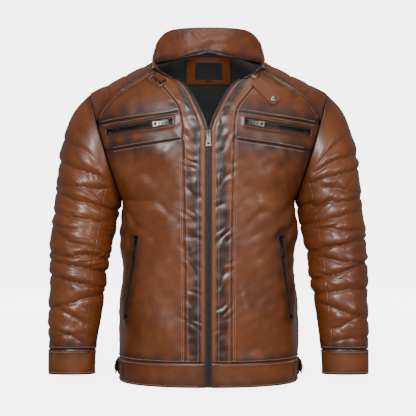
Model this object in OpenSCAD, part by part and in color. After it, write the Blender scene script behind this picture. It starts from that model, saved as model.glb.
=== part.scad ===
// Leather riding jacket with a stand collar, a full front zip, four zipped pockets,
// a throat strap and side adjusters. Millimetres, +Z up, the front faces -Y,
// and the origin is under the middle of the hem. "Right" is the wearer's right, at -X.

/* [Body] */
// Half width of the hem
hem_half = 178; // [160:1:200]
// Half width at the waist
waist_half = 170; // [150:1:180]
// Distance from the middle plane to the front zip
front_depth = 137; // [120:1:150]
// Distance from the middle plane to the back at the shoulder blades
back_depth = 142; // [120:1:150]
// Height of the armpit
armpit_z = 355; // [330:1:370]
// Half width at the armpit
armpit_x = 172; // [160:1:185]
// Height of the shoulder tip
tip_z = 567; // [550:1:590]
// Half of the shoulder width, seam to seam
tip_x = 236; // [220:1:250]
// Half the front-to-back size of the armhole
armhole_half = 76; // [68:1:84]
// Height of the neckline at the side of the neck
neck_z = 638; // [628:1:648]
// Half width of the neckline
neck_x = 97; // [88:1:106]

/* [Leather] */
// Thickness of the outer leather
leather = 1.4; // [1:0.1:2]
// Thickness of the lining cloth
cloth = 0.8; // [0.6:0.1:1]
// Clear seam between two neighbouring pieces
seam = 0.5; // [0.4:0.1:0.8]
// Height of the hem band
band_h = 46; // [36:1:60]
// Height of the cuffs
cuff_h = 52; // [30:1:60]
// Height of the cuffs' lower edge
cuff_z = 13; // [8:1:25]
// Height of the collar above the neckline
collar_h = 54; // [40:1:62]

/* [Zips] */
// Height at which the front zip is closed
zip_top = 487; // [470:1:500]
// Width of one row of teeth
teeth_w = 2.5; // [2:0.1:3.2]
// Thickness of the teeth
teeth_t = 2.4; // [2:0.1:3]
// Slot that the slider's wedge runs in
wedge_slot = 1.4; // [1.2:0.1:1.8]
// Thickness of the zip tape
tape_t = 0.5; // [0.4:0.1:0.6]
// Running clearance of the sliders
run = 0.35; // [0.25:0.05:0.5]
// Length of a slider
slider_l = 14; // [12:0.5:18]
// Length of a pull tab
pull_l = 23; // [18:1:30]
// Length of a chest pocket zip, along its arc
chest_zip_l = 126; // [100:1:130]
// Length of a side pocket zip
side_zip_l = 154; // [120:1:165]

/* [Straps] */
// Width of the straps
strap_w = 24; // [18:1:28]
// Length of the throat strap
strap_l = 60; // [50:1:66]
// Thickness of the straps
strap_t = 2; // [1.5:0.1:2.5]
// Diameter of the snap caps
snap_d = 13; // [10:0.5:15]
// Wire diameter of the metal rings
ring_wire = 2.4; // [2:0.1:3]

/* [Hidden] */

tan_leather = [0.50, 0.24, 0.11];
dark_leather = [0.28, 0.14, 0.08];
black_cloth = [0.06, 0.06, 0.06];
tape_black = [0.09, 0.09, 0.09];
metal = [0.55, 0.52, 0.47];
$fn = 32;

round_n = 2.4;             // superellipse exponent of the body's rings
edge = 6;                  // distance of the leather's edge from the zip's middle
slot_half = 6.2;           // half width of a pocket's slot
chain_out = wedge_slot/2 + teeth_w;      // outer side of the teeth, from the zip's middle
zip_in = leather + 0.5 + tape_t/2;       // depth of the front zip's middle plane
chest_in = 3.6;                          // depth of the chest zips' middle plane
hip_in = 4.4;                            // depth of the side zips' middle plane
facing_in = leather + tape_t + 1.1;      // depth of the facings' outer face
facing_t = 1;                            // thickness of the facings
edge_in = facing_in + facing_t + 0.6;    // depth of the lining where it meets the facings
hang_in = 10;                            // depth of the lining where it hangs free
seam_z = band_h + seam;                  // lower edge of the panels above the hem band
yoke_z = 470;                            // height of the back's cross seam
tip_gap = 2;                             // half angle kept open at the shoulder tip

// ---- helpers ----
function lerp(a, b, t) = a + (b - a)*t;
function unit(v) = v/norm(v);
function sgn_pow(v, e) = sign(v)*pow(abs(v), e);
// Value at t on a row of knots, where knot k is at t = k
function along(knots, t) =
    let (k = min(floor(t), len(knots) - 2)) lerp(knots[k], knots[k + 1], t - k);

// ---- the body's surface: one ring at each height ----
front_keys = [[0, 0], [zip_top, 0], [zip_top + 23, -1.5], [530, -6], [550, -12], [tip_z, -20],
              [585, -30], [600, -40], [620, -57], [neck_z, -75], [662, -97]];
back_keys = [[0, -9], [band_h, -9], [150, -14], [250, -15], [350, -8], [450, 0], [500, -2],
             [540, -10], [tip_z, -20], [600, -34], [620, -44], [neck_z, -55], [650, -64], [664, -75]];
side_keys = [[0, hem_half], [band_h, hem_half], [150, hem_half - 3], [250, waist_half + 0.5],
             [300, waist_half], [armpit_z, armpit_x]];
function depth_front(z) = front_depth + lookup(z, front_keys);
function depth_back(z) = back_depth + lookup(z, back_keys);
function arm_t(z) = (z - armpit_z)/(tip_z - armpit_z);
function arm_x(z) = lerp(armpit_x, tip_x, arm_t(z));
function arm_y(z) = armhole_half*sqrt(max(0, 1 - pow(2*arm_t(z) - 1, 2)));
function half_width(z) =
    z < armpit_z ? lookup(z, side_keys)
    : z < tip_z ? arm_x(z)/pow(1 - pow(arm_y(z)/depth_front(z), round_n), 1/round_n)
    : tip_x - (z - tip_z)*(tip_x - neck_x)/(neck_z - tip_z);
// Point at the angle th (0 at the front, 90 at the left side, 180 at the back) and the height z
function surf(th, z) =
    let (b = cos(th) > 0 ? depth_front(z) : depth_back(z))
    [half_width(z)*sgn_pow(sin(th), 2/round_n), -b*sgn_pow(cos(th), 2/round_n), z];
function normal(th, z) =
    unit(cross(surf(th + 1, z) - surf(th - 1, z), surf(th, z + 2) - surf(th, z - 2)));
// Angle of the point that lies x from the middle plane, in front
function angle_at(x, z) = asin(pow(min(1, x/half_width(z)), round_n/2));
function arm_angle(z) = z < armpit_z ? 90 : z < tip_z ? angle_at(arm_x(z), z) : 90;
// The armhole's edge, kept apart from the shoulder tip and the armpit
function arm_edge(z) = min(90 - tip_gap, arm_angle(z) - 0.25);

// ---- seams, as the distance x from the middle at each height z ----
v_keys = [[0, edge], [zip_top, edge], [500, 9.5], [517, 16], [541, 27], [564, 40], [577, 50],
          [590, 70], [604, 92], [612, 101]];
placket_keys = [[0, 43], [band_h, 43], [471, 48], [525, 53], [557, 74], [580, 92], [604, 99.5], [612, 103]];
piping_keys = [[508, 216], [522, 212], [536, 201], [556, 182], [573, 156], [598, 119], [612, 106], [640, 80]];
back_piping_keys = [[508, 217], [530, 208], [555, 190], [575, 162], [600, 126], [630, 94], [650, 66], [664, 45]];
facing_keys = [[0, 42], [zip_top, 42], [520, 48], [545, 60], [565, 72], [580, 84], [600, 100], [612, 105]];
neck_keys = [[0, 565], [9.9, 577], [15.5, 587], [30, 604], [41, 613], [61, 627], [90, neck_z],
             [135, neck_z + 16], [180, neck_z + 27]];
function v_x(z) = lookup(z, v_keys);
function placket_x(z) = lookup(z, placket_keys);
function piping_x(z) = lookup(z, piping_keys);
function back_piping_x(z) = lookup(z, back_piping_keys);
function facing_x(z) = lookup(z, facing_keys);
function neck_height(th) = lookup(th, neck_keys);
chest_slope = 16/115;                    // fall of the chest seams for each millimetre outwards
function band_low(x) = 471 - (x - 48)*chest_slope;
function band_high(x) = 525 - (x - 48)*chest_slope;
// Distance from the middle of the point at the angle th and the height z
function x_at(th, z) = abs(surf(th, z).x);
// Rows of points along the edge of the opening, the placket's outer seam and the shoulder's seams
v_top = 587;
open_steps = 10;                         // rows between the zip's top and the neckline
open_rows = [for (k = [0:open_steps]) lerp(zip_top, v_top, k/open_steps)];
yoke_rows = [for (k = [0:8]) lerp(525, 606, k/8)];
placket_in_rows = concat([seam_z, 260, 471], open_rows);
placket_out_rows = concat([seam_z, 260, 471, zip_top, 505], yoke_rows);
arm_rows = [508, 522, 537, 552, 560, tip_z];

// ---- the chest pocket zip: an arc of a circle through three points of the chest ----
chest_in_x = 74;
chest_in_z = 503;
chest_out_x = chest_in_x + chest_zip_l - 7.5;
function chest_z(x) = chest_in_z - (x - chest_in_x)*chest_slope;
chest_tilt = atan(chest_slope);
chest_along = [cos(chest_tilt), 0, -sin(chest_tilt)];
chest_start = surf(angle_at(chest_in_x, chest_z(chest_in_x)), chest_z(chest_in_x));
function chest_flat(x) =
    let (p = surf(angle_at(x, chest_z(x)), chest_z(x))) [(p - chest_start)*chest_along, p.y];
function circle_centre(a, b, c) =
    let (d = 2*(a.x*(b.y - c.y) + b.x*(c.y - a.y) + c.x*(a.y - b.y)))
    [((a*a)*(b.y - c.y) + (b*b)*(c.y - a.y) + (c*c)*(a.y - b.y))/d,
     ((a*a)*(c.x - b.x) + (b*b)*(a.x - c.x) + (c*c)*(b.x - a.x))/d];
chest_a = chest_flat(chest_in_x);
chest_c = circle_centre(chest_a, chest_flat((chest_in_x + chest_out_x)/2), chest_flat(chest_out_x));
chest_r = norm(chest_a - chest_c);
chest_centre = chest_start + chest_along*chest_c.x + [0, chest_c.y - chest_start.y, 0];
chest_phi_in = atan2(chest_a.x - chest_c.x, chest_c.y - chest_a.y);
chest_phi_out = chest_phi_in + chest_zip_l/chest_r*180/PI;

// ---- the side pocket zip: a straight line on the front of the hip ----
side_top_x = 141;
side_low_x = 161;
side_top = surf(angle_at(side_top_x, 280), 280);
side_low_z = side_top.z - side_zip_l*0.974;
side_low = surf(angle_at(side_low_x, side_low_z), side_low_z);
side_mid = (side_top + side_low)/2;
side_turn = 56;                          // the way the pocket faces, from the front towards the side
side_dir = unit(side_top - side_low);
side_lean = asin(side_dir*[cos(side_turn), sin(side_turn), 0]);
side_tip = asin(side_dir*[sin(side_turn), -cos(side_turn), 0]);
function side_slot(z) =
    lerp(angle_at(side_low_x, side_low.z), angle_at(side_top_x, side_top.z),
         max(0, min(1, (z - side_low.z)/(side_top.z - side_low.z))));
function slot_angle(th, z) = 1.04*slot_half/norm(surf(th + 0.5, z) - surf(th - 0.5, z));
slot_end = 4;                            // room past each end of a pocket's zip

// ---- shells ----
// Closed shell between two grids of points, rows of columns, with windows [first column, first row, columns, rows]
module shell(outer, inner, windows = []) {
    nj = len(outer);
    ni = len(outer[0]);
    count = ni*nj;
    function open(i, j) = len([for (w = windows)
        if (i >= w[0] && i < w[0] + w[2] && j >= w[1] && j < w[1] + w[3]) 1]) > 0;
    function has(i, j) = i >= 0 && j >= 0 && i < ni - 1 && j < nj - 1 && !open(i, j);
    function o(i, j) = j*ni + i;
    function n(i, j) = count + o(i, j);
    function two(a, b, c, d) = [[a, b, c], [a, c, d]];
    faces = [for (j = [0:nj - 2], i = [0:ni - 2]) if (has(i, j)) each concat(
        two(o(i, j + 1), o(i + 1, j + 1), o(i + 1, j), o(i, j)),
        two(n(i + 1, j), n(i + 1, j + 1), n(i, j + 1), n(i, j)),
        has(i - 1, j) ? [] : two(n(i, j), n(i, j + 1), o(i, j + 1), o(i, j)),
        has(i + 1, j) ? [] : two(n(i + 1, j + 1), n(i + 1, j), o(i + 1, j), o(i + 1, j + 1)),
        has(i, j - 1) ? [] : two(n(i + 1, j), n(i, j), o(i, j), o(i + 1, j)),
        has(i, j + 1) ? [] : two(n(i, j + 1), n(i + 1, j + 1), o(i + 1, j + 1), o(i, j + 1)))];
    polyhedron([for (r = outer) each r, for (r = inner) each r], faces, convexity = 8);
}

// Patch of the body between z_at(s, t) and angle_of(s, z), with its outer face at the depth in,
// which is a number or a function of s and t
module patch(S, T, z_at, angle_of, in = 0, thick = leather, windows = []) {
    grid = [for (t = T) [for (s = S)
        let (z = z_at(s, t), th = angle_of(s, z), d = is_function(in) ? in(s, t) : in, n = normal(th, z))
        [surf(th, z) - d*n, thick*n]]];
    shell([for (r = grid) [for (p = r) p[0]]], [for (r = grid) [for (p = r) p[0] - p[1]]], windows);
}
module on_side(side) {
    if (side == "left") children();
    else mirror([1, 0, 0]) children();
}
module both() {
    for (side = ["left", "right"]) on_side(side) children();
}

// ---- leather panels ----
module front_panel(side) {
    knots = function(s, z) let (m = side_slot(z), h = slot_angle(m, z))
        along([angle_at(placket_x(z) + seam/2, z), m - h, m + h,
               z < armpit_z ? 89.85 : arm_edge(z)], s);
    guess = function(s) band_low(x_at(knots(s, 460), 460));
    high = function(s) band_low(x_at(knots(s, guess(s)), guess(s))) - seam/2;
    color(tan_leather) on_side(side)
        patch([0, 0.25, 0.5, 0.75, 1, 2, 2.33, 2.67, 3],
              [0, 0.5, 1, 1.33, 1.67, 2, 2.5, 3, 3.06, 3.15, 3.35, 3.65, 4],
              function(s, t) along([seam_z, side_low.z - slot_end, side_top.z + slot_end, armpit_z,
                                    high(s)], t),
              knots, windows = [[4, 2, 1, 3]]);
}
module chest_band(side) {
    slot_a = chest_in_x - slot_end;
    slot_b = chest_out_x + slot_end;
    x_of = function(s, z) along([placket_x(z) + seam/2, slot_a, slot_b, arm_x(z) - 0.4], s);
    mid_x = function(s) x_of(s, chest_z(x_of(s, 490)));
    low = function(s) band_low(x_of(s, band_low(mid_x(s)))) + seam/2;
    high = function(s) band_high(x_of(s, band_high(mid_x(s)))) - seam/2;
    color(tan_leather) on_side(side)
        patch([0, 1, 1.167, 1.333, 1.5, 1.667, 1.833, 2, 2.5, 3], [0, 1, 2, 3],
              function(s, t) let (m = chest_z(mid_x(s)))
                  along([low(s), m - slot_half, m + slot_half, high(s)], t),
              function(s, z) angle_at(x_of(s, z), z), windows = [[1, 1, 6, 1]]);
}
module chest_yoke(side) {
    outer_x = function(z) min(piping_x(z) - 1.5, arm_x(z) - 0.4);
    x_of = function(s, z) lerp(placket_x(z) + seam/2, outer_x(z), s);
    // the cord's side meets the band at the armhole
    side_rows = concat([band_high(212) + seam/2], [for (k = [1:5]) arm_rows[k]], [582, 597, 607]);
    color(tan_leather) on_side(side)
        patch([0, 0.25, 0.5, 0.75, 1], [0:8],
              function(s, t) t == 0 ? band_high(lerp(53, 212, s)) + seam/2
                                    : lerp(yoke_rows[t], side_rows[t], s),
              function(s, z) angle_at(x_of(s, z), z));
}
module shoulder_panel(side) {
    top = function(s) neck_height(along([42, 90 - tip_gap, 90 + tip_gap, 119], s)) - 0.6;
    color(tan_leather) on_side(side)
        patch([0, 0.33, 0.67, 1, 2, 2.33, 2.67, 3], [0:8],
              function(s, t) t <= 5 ? arm_rows[t] : lerp(tip_z, top(s), (t - 5)/3),
              function(s, z) along([angle_at(piping_x(z) + 1.5, z), arm_edge(z), 180 - arm_edge(z),
                                    180 - angle_at(back_piping_x(z) + seam/2, z)], s),
              windows = [[3, 0, 1, 5]]);
}
// Raised cord in the seam between the chest and the shoulder
module yoke_piping() {
    z_list = concat([511], [for (k = [1:5]) arm_rows[k]], [582, 597, 607]);
    ring = [for (k = [0:5]) [cos(60*k), sin(60*k)]];
    color(dark_leather) both() {
        grid = [for (z = z_list) let (th = angle_at(piping_x(z), z), n = normal(th, z),
                u = unit(cross(surf(angle_at(piping_x(z + 2), z + 2), z + 2) - surf(th, z), n)))
            [for (r = ring) surf(th, z) + n*(0.2 + 0.85*r.x) + u*0.85*r.y]];
        tube(grid);
    }
}
// Closed tube through rings of points, turning from the first ring's start
module tube(rings) {
    m = len(rings[0]);
    last = len(rings) - 1;
    side_faces = [for (j = [0:last - 1], i = [0:m - 1])
        let (a = j*m + i, b = j*m + (i + 1)%m, c = a + m, d = b + m) each [[a, b, d], [a, d, c]]];
    caps = [[for (i = [m - 1:-1:0]) i], [for (i = [0:m - 1]) last*m + i]];
    polyhedron([for (r = rings) each r], concat(side_faces, caps), convexity = 4);
}
module placket(side) {
    color(dark_leather) on_side(side)
        patch([0, 0.5, 1], [0:13],
              function(s, t) lerp(placket_in_rows[t], placket_out_rows[t], s),
              function(s, z) angle_at(lerp(v_x(z), placket_x(z) - seam/2, s), z));
}
module back_panel() {
    start = function(z) z < armpit_z ? 90.15 : 180 - arm_edge(z);
    color(tan_leather)
        patch([for (k = [0:12]) k/12], [0, 0.2, 0.4, 0.6, 0.8, 1, 1.05, 1.15, 1.35, 1.65, 2],
              function(s, t) along([seam_z, armpit_z, yoke_z - seam/2], t),
              function(s, z) lerp(start(z), 360 - start(z), s));
}
module back_yoke() {
    rows = concat([yoke_z + seam/2, 489], arm_rows, [599, 631, neck_z + 26]);
    side_rows = concat([yoke_z + seam/2, 489], arm_rows, [594, 621.5, 648.4]);
    outer_x = function(z) z < arm_rows[0] ? arm_x(z) - 0.4 : min(arm_x(z), back_piping_x(z)) - seam/2;
    color(tan_leather)
        patch([for (k = [-6:6]) k/6], [0:10],
              function(s, t) lerp(rows[t], side_rows[t], s*s),
              function(s, z) 180 - s*angle_at(outer_x(z), z));
}
// Upright band that follows the hem from the angle a to the angle b, between the depths d and d + t
module hem_piece(a, b, steps, height, d, t) {
    angles = [for (k = [0:steps]) lerp(a, b, k/steps)];
    outline = function(th, depth) let (p = surf(th, 10) - depth*normal(th, 10)) [p.x, p.y];
    linear_extrude(height) polygon([for (th = angles) outline(th, d),
                                    for (k = [steps:-1:0]) outline(angles[k], d + t)]);
}
hem_start = angle_at(edge, 10);
hem_joint = 72;
module waistband(side) {
    color(tan_leather) on_side(side) hem_piece(hem_start, hem_joint - 0.12, 8, band_h, 0, leather);
}
module waistband_back() {
    color(tan_leather) hem_piece(hem_joint + 0.12, 360 - hem_joint - 0.12, 24, band_h, 0, leather);
}

// ---- collar ----
// One side of the collar from the middle of the back: [neckline angle, top edge point]
collar_drawn = 54;                       // height at which the collar's key points are drawn
collar_keys = [
    [180, [0, 92, 715]], [160, [37, 91, 714]], [139, [67, 82, 710]], [121, [86, 68, 702]],
    [104, [98, 50, 689]], [88, [105, 30, 673]], [70, [107, 4, 656]], [52, [108, -24, 641]],
    [34, [108, -54, 626]], [15.5, [106, -78, 613]],
];
last_key = len(collar_keys) - 1;
function collar_base(k) = let (th = collar_keys[k][0], z = neck_height(th)) surf(th, z)
    + [0, 0, 0.9] + 1.1*unit([surf(th, z).x, surf(th, z).y, 0]);
function collar_top(k) = let (b = collar_base(k), d = collar_keys[k][1] - b)
    b + d*(k < 5 ? collar_h/collar_drawn : 1);
// Points of the collar from one front end round the back to the other, at the share t of its height
function collar_row(t) =
    let (half = [for (k = [0:last_key]) lerp(collar_base(k), collar_top(k), t)])
    concat([for (k = [last_key:-1:1]) [-half[k].x, half[k].y, half[k].z]], half);
function collar_grid(out) =
    let (rows = [for (t = [0, 0.5, 1]) collar_row(t)], m = len(rows[0]))
    [for (j = [0:2]) [for (i = [0:m - 1])
        let (a = max(0, i - 1), b = min(m - 1, i + 1),
             n = unit(cross(rows[1][a] - rows[1][b], rows[2][i] - rows[0][i])))
        rows[j][i] + out*n]];
collar_t = 1.3;
module collar_layer(paint, outer_at) {
    color(paint) shell(collar_grid(outer_at - collar_t), collar_grid(outer_at));
}
module collar_outer() collar_layer(dark_leather, collar_t + 0.2);
module collar_facing() collar_layer(tan_leather, -0.2);

// ---- facings, lining and neck label ----
module front_facings() {
    color(tan_leather) both()
        patch([0, 0.5, 1], [-1:open_steps],
              function(s, t) t < 0 ? 2 : lerp(open_rows[t], lerp(zip_top, 600, t/open_steps), s),
              function(s, z) angle_at(lerp(v_x(z) + 2.5, facing_x(z), s), z), facing_in, facing_t);
}
module body_lining() {
    top = function(s) neck_height(along([32, 90 - tip_gap, 90 + tip_gap, 180, 270 - tip_gap, 270 + tip_gap,
                                         328], s > 3 ? 6 - s : s)) - 8;
    edge_l = function(z) angle_at(facing_x(z) - 5, z);
    depth = function(s, t) s == 0 || s == 6 ? edge_in : min(
        lookup(t, [[0, 3.4], [0.14, 7], [0.42, hang_in], [1.9, 9], [2.5, 7], [3, edge_in]]),
        t >= 1 && t <= 2 && (s == 1 || s == 2 || s == 4 || s == 5) ? edge_in : hang_in);
    color(black_cloth)
        patch([0, 0.33, 0.67, 1, for (k = [0:10]) 2 + k/5, 5, 5.33, 5.67, 6],
              [0, 0.14, 0.42, 0.6, 0.72, 0.84, 1, 1.04, 1.13, 1.3, 1.5, 1.7, 1.87, 1.96, 2, 2.33, 2.67, 3],
              function(s, t) along([6, armpit_z, tip_z, top(s)], t),
              function(s, z) along([edge_l(z), arm_edge(z), 180 - arm_edge(z), 180, 180 + arm_edge(z),
                                    360 - arm_edge(z), 360 - edge_l(z)], s),
              depth, cloth, windows = [[3, 6, 1, 8], [14, 6, 1, 8]]);
}
patch_low = neck_z - 37;
patch_high = neck_z + 17;
patch_mid = (patch_low + patch_high)/2;
label_low = patch_low + 11;
label_high = patch_high - 8;
label_half = 29;
module neck_piece(X, Z, in, thick) {
    patch(X, [0:len(Z) - 1], function(s, t) Z[t],
          function(s, z) 180 - sign(s)*angle_at(abs(s), z), in, thick);
}
patch_in = 10.2;
label_in = patch_in + 1.5;
module neck_patch()
    color(tan_leather) neck_piece([-48, -label_half, -14.5, 0, 14.5, label_half, 48],
                                  [patch_low, label_low, patch_mid, label_high, patch_high], patch_in, 1.2);
module neck_label()
    color(black_cloth) neck_piece([-label_half, -14.5, 0, 14.5, label_half],
                                  [label_low, patch_mid, label_high], label_in, 0.6);
module size_tag()
    color(black_cloth) neck_piece([-5.5, 0, 5.5], [patch_low + 5.5, patch_low + 10.2], label_in + 0.1, 0.5);

// ---- zips ----
// A front zip's strip that follows the leather's edge, from a to b past that edge
module front_strip(a, b, in, thick, low, high) {
    patch([0, 1], [-1:open_steps], function(s, t) t < 0 ? low : lerp(zip_top, high, t/open_steps),
          function(s, z) angle_at(v_x(z) + lerp(a, b, s), z), in, thick);
}
module zip_tapes() {
    color(tape_black) both() front_strip(chain_out - edge + 0.25, 8, zip_in - tape_t/2, tape_t, 0.4, v_top);
}
module zip_chains() {
    color(metal) both() {
        front_strip(wedge_slot/2 - edge, chain_out - edge, zip_in - teeth_t/2, teeth_t, 6.5, v_top);
        // the row goes on up the front edge of the collar
        bar(lerp(collar_front[0], collar_front[1], 0.06), lerp(collar_front[0], collar_front[1], 0.94));
    }
}
// The collar's front edge from its foot to its corner, moved out by half a row of teeth
front_dir = unit(collar_top(last_key) - collar_base(last_key));
function beside_front(a, b) = a + (teeth_w/2 + 0.6)*unit((a - b) - ((a - b)*front_dir)*front_dir);
collar_front = [beside_front(collar_base(last_key), collar_base(last_key - 1)),
                beside_front(collar_top(last_key), collar_top(last_key - 1))];
// Square bar of teeth between two points
module bar(a, b) {
    d = b - a;
    translate(a) rotate([0, acos(d.z/norm(d)), atan2(d.y, d.x)]) translate([-teeth_t/2, -teeth_w/2, 0])
        cube([teeth_t, teeth_w, norm(d)]);
}
// Retainer box and pin at the hem, and the top stops at the ends of the teeth
module zip_stops() {
    color(metal) {
        translate([-chain_out, -front_depth + zip_in - 2, 0.4]) cube([2*chain_out, 4, 5.6]);
        both() translate(lerp(collar_front[0], collar_front[1], 1) + [0.4, -0.4, 0]) cube(2.6, center = true);
    }
}

// Slider that runs along Z on teeth whose middle plane is y = 0, with its face towards -Y
plate_y = teeth_t/2 + run;
plate_t = 1.4;
slider_w = 10.8;
bridge_w = 2.2;
bridge_h = 2.95;
bridge_l = 10;
pin_y = -(plate_y + plate_t + 0.97);
pin_r = 0.65;
module slider() {
    flange_w = slider_w/2 - chain_out - 0.7;
    color(metal) {
        for (s = [1, -1]) {
            t = s > 0 ? 1.1 : plate_t;
            translate([-slider_w/2, s > 0 ? plate_y : -plate_y - t, -slider_l/2]) cube([slider_w, t, slider_l]);
            for (q = [1, -1])
                translate([q > 0 ? slider_w/2 - flange_w : -slider_w/2, s > 0 ? tape_t/2 + 0.3 : -plate_y,
                           -slider_l/2])
                    cube([flange_w, plate_y - tape_t/2 - 0.3, slider_l]);
        }
        // wedge that parts the teeth
        translate([-wedge_slot/4, -plate_y, slider_l/2 - 4]) cube([wedge_slot/2, 2*plate_y, 4]);
        // bridge that holds the pull
        for (z = [-bridge_l/2, bridge_l/2 - 1.4])
            translate([-bridge_w/2, -plate_y - plate_t - bridge_h, z]) cube([bridge_w, bridge_h, 1.4]);
        translate([-bridge_w/2, -plate_y - plate_t - bridge_h, -bridge_l/2]) cube([bridge_w, 1, bridge_l]);
    }
}
// Pull tab that hangs towards -Z from its pin under the bridge
module pull() {
    neck = 5.8;
    cheek = bridge_w/2 + 0.4;
    color(metal) translate([0, pin_y, 0]) {
        rotate([0, 90, 0]) cylinder(r = pin_r, h = 2*cheek + 2.4, center = true);
        for (s = [1, -1]) translate([s > 0 ? cheek : -cheek - 1.2, -pin_r, -neck - 1.5])
            cube([1.2, 2*pin_r, neck + 1.5]);
        rotate([90, 0, 0]) linear_extrude(2*pin_r, center = true) difference() {
            hull() {
                translate([-3.4, -neck - 2]) square([6.8, 2]);
                for (s = [1, -1]) translate([s*4, -pull_l + 1.4]) circle(r = 1.4);
            }
            translate([0, -pull_l + 5]) square([4.6, 4], center = true);
            translate([0, -neck - 4]) circle(r = 1.5);
        }
    }
}

// Moves a piece from the slider's own frame to the chest zip, at the angle phi of its arc
module at_chest(side, phi) {
    on_side(side) translate(chest_centre) rotate([0, chest_tilt, 0]) rotate([0, 0, phi])
        translate([0, -chest_r + chest_in, 0]) rotate([0, -90, 0]) children();
}
// An arc of the chest zip: |z| from a to b, and y from the middle plane
module chest_arc(a, b, thick, phi0, phi1) {
    translate(chest_centre) rotate([0, chest_tilt, 0]) rotate([0, 0, phi0 - 90])
        rotate_extrude(angle = phi1 - phi0, $fn = 96)
            for (s = [1, -1]) translate([chest_r - chest_in - thick/2, s > 0 ? a : -b]) square([thick, b - a]);
}
tape_w = 9.5;                // half width of a pocket's two tapes
chest_end = 1.6/chest_r*180/PI;
module chest_zip_tapes() {
    color(tape_black) both() chest_arc(chain_out + 0.25, tape_w, tape_t, chest_phi_in, chest_phi_out);
}
module chest_zip_chains() {
    color(metal) both() {
        chest_arc(wedge_slot/2, chain_out, teeth_t, chest_phi_in + chest_end, chest_phi_out - chest_end);
        // stops that close both ends of the teeth
        for (phi = [chest_phi_in + chest_end/2, chest_phi_out - chest_end/2])
            translate(chest_centre) rotate([0, chest_tilt, 0]) rotate([0, 0, phi])
                translate([-0.7, -chest_r + chest_in - 1, -chain_out]) cube([1.4, 2, 2*chain_out]);
    }
}
slider_in = chest_phi_in + (slider_l/2 + 2.2)/chest_r*180/PI;
module chest_slider(side) at_chest(side, slider_in) slider();
module chest_pull(side) at_chest(side, slider_in) pull();

// Moves a piece from the slider's own frame to the side pocket's zip
module at_side(side) {
    on_side(side) translate(side_mid) rotate([0, 0, side_turn]) rotate([side_tip, side_lean, 0])
        translate([0, hip_in, 0]) children();
}
side_half = norm(side_top - side_low)/2;
module side_zip_tapes() {
    color(tape_black) both() at_side("left") for (s = [1, -1])
        translate([s > 0 ? chain_out + 0.25 : -tape_w, -tape_t/2, -side_half])
            cube([tape_w - chain_out - 0.25, tape_t, 2*side_half]);
}
module side_zip_chains() {
    color(metal) both() at_side("left") {
        for (s = [1, -1]) translate([s > 0 ? wedge_slot/2 : -chain_out, -teeth_t/2, -side_half + 1.6])
            cube([teeth_w, teeth_t, 2*side_half - 3.2]);
        for (z = [-side_half + 0.1, side_half - 1.5])
            translate([-chain_out, -1, z]) cube([2*chain_out, 2, 1.4]);
    }
}
side_slider_z = side_half - slider_l/2 - 2.2;
module side_slider(side) at_side(side) translate([0, 0, side_slider_z]) slider();
module side_pull(side) at_side(side) translate([0, 0, side_slider_z]) pull();
module zip_slider() translate([0, -front_depth + zip_in, zip_top - slider_l/2]) slider();
module zip_pull() translate([0, -front_depth + zip_in, zip_top - slider_l/2]) pull();

// Flat pouches behind the pocket zips
module pocket_bags() {
    bag_t = cloth - 0.2;
    color(black_cloth) both() {
        patch([0, 0.25, 0.5, 0.75, 1], [0, 0.5, 1],
              function(s, t) let (x = lerp(82, 165, s)) lerp(chest_z(x) - 95, chest_z(x) - tape_w + 1, t),
              function(s, z) angle_at(lerp(82, 165, s), z), chest_in + tape_t/2 + 1.1, bag_t);
        patch([0, 0.33, 0.67, 1], [0, 0.25, 0.5, 0.75, 1],
              function(s, t) lerp(side_low.z + 2, side_top.z - 4, t),
              function(s, z) let (m = side_slot(z), h = slot_angle(m, z))
                  lerp(angle_at(72, z), m - 1.15*h, s), hip_in + tape_t/2 + 1.2, bag_t);
    }
}

// ---- throat strap and its ring ----
// Rectangular ring of round wire in the XZ plane, w along X and h along Z, between wire middles
module wire_ring(w, h) {
    color(metal) {
        for (s = [1, -1]) {
            translate([0, 0, s*h/2]) rotate([0, 90, 0]) cylinder(d = ring_wire, h = w, center = true);
            translate([s*w/2, 0, 0]) cylinder(d = ring_wire, h = h, center = true);
        }
        for (s = [1, -1], q = [1, -1]) translate([s*w/2, 0, q*h/2]) sphere(d = ring_wire);
    }
}
// A strap folded round a bar on the X axis; its two layers lie towards +Z, at y = -gap/2 and y = gap/2
module folded_strap(w, front, back, gap) {
    turn = gap/2 + strap_t;
    rotate([90, 0, 90]) linear_extrude(w, center = true) {
        difference() {
            circle(r = turn);
            circle(r = gap/2);
            translate([-turn - 1, 0]) square([2*turn + 2, turn + 1]);
        }
        translate([-turn, 0]) square([strap_t, front]);
        translate([gap/2, 0]) square([strap_t, back]);
    }
}
fold_gap = ring_wire + 0.7;
ring_w = strap_w + 7;
ring_h = 12;
// Moves a piece onto the left front at x and z, lifted off the leather and turned in its surface;
// its own X then runs along the leather and its own -Y faces outwards
module on_front(x, z, turn, lift) {
    th = angle_at(x, z);
    n = normal(th, z);
    h = unit(cross([0, 0, 1], n));
    u = cross(n, h);
    ex = h*cos(turn) + u*sin(turn);
    ez = u*cos(turn) - h*sin(turn);
    p = surf(th, z) + lift*n;
    multmatrix([[ex.x, -n.x, ez.x, p.x], [ex.y, -n.y, ez.y, p.y], [ex.z, -n.z, ez.z, p.z], [0, 0, 0, 1]])
        children();
}
// The throat ring's upper bar lies on its own X axis
module at_throat() on_side("right") on_front(95, 584, 42, ring_lift) children();
ring_lift = fold_gap/2 + strap_t + 0.9;
tab_l = 9;
module throat_tab() {
    color(dark_leather) at_throat() folded_strap(strap_w, tab_l, tab_l, fold_gap);
}
module throat_ring() at_throat() translate([0, 0, -ring_h/2]) wire_ring(ring_w, ring_h);
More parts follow.
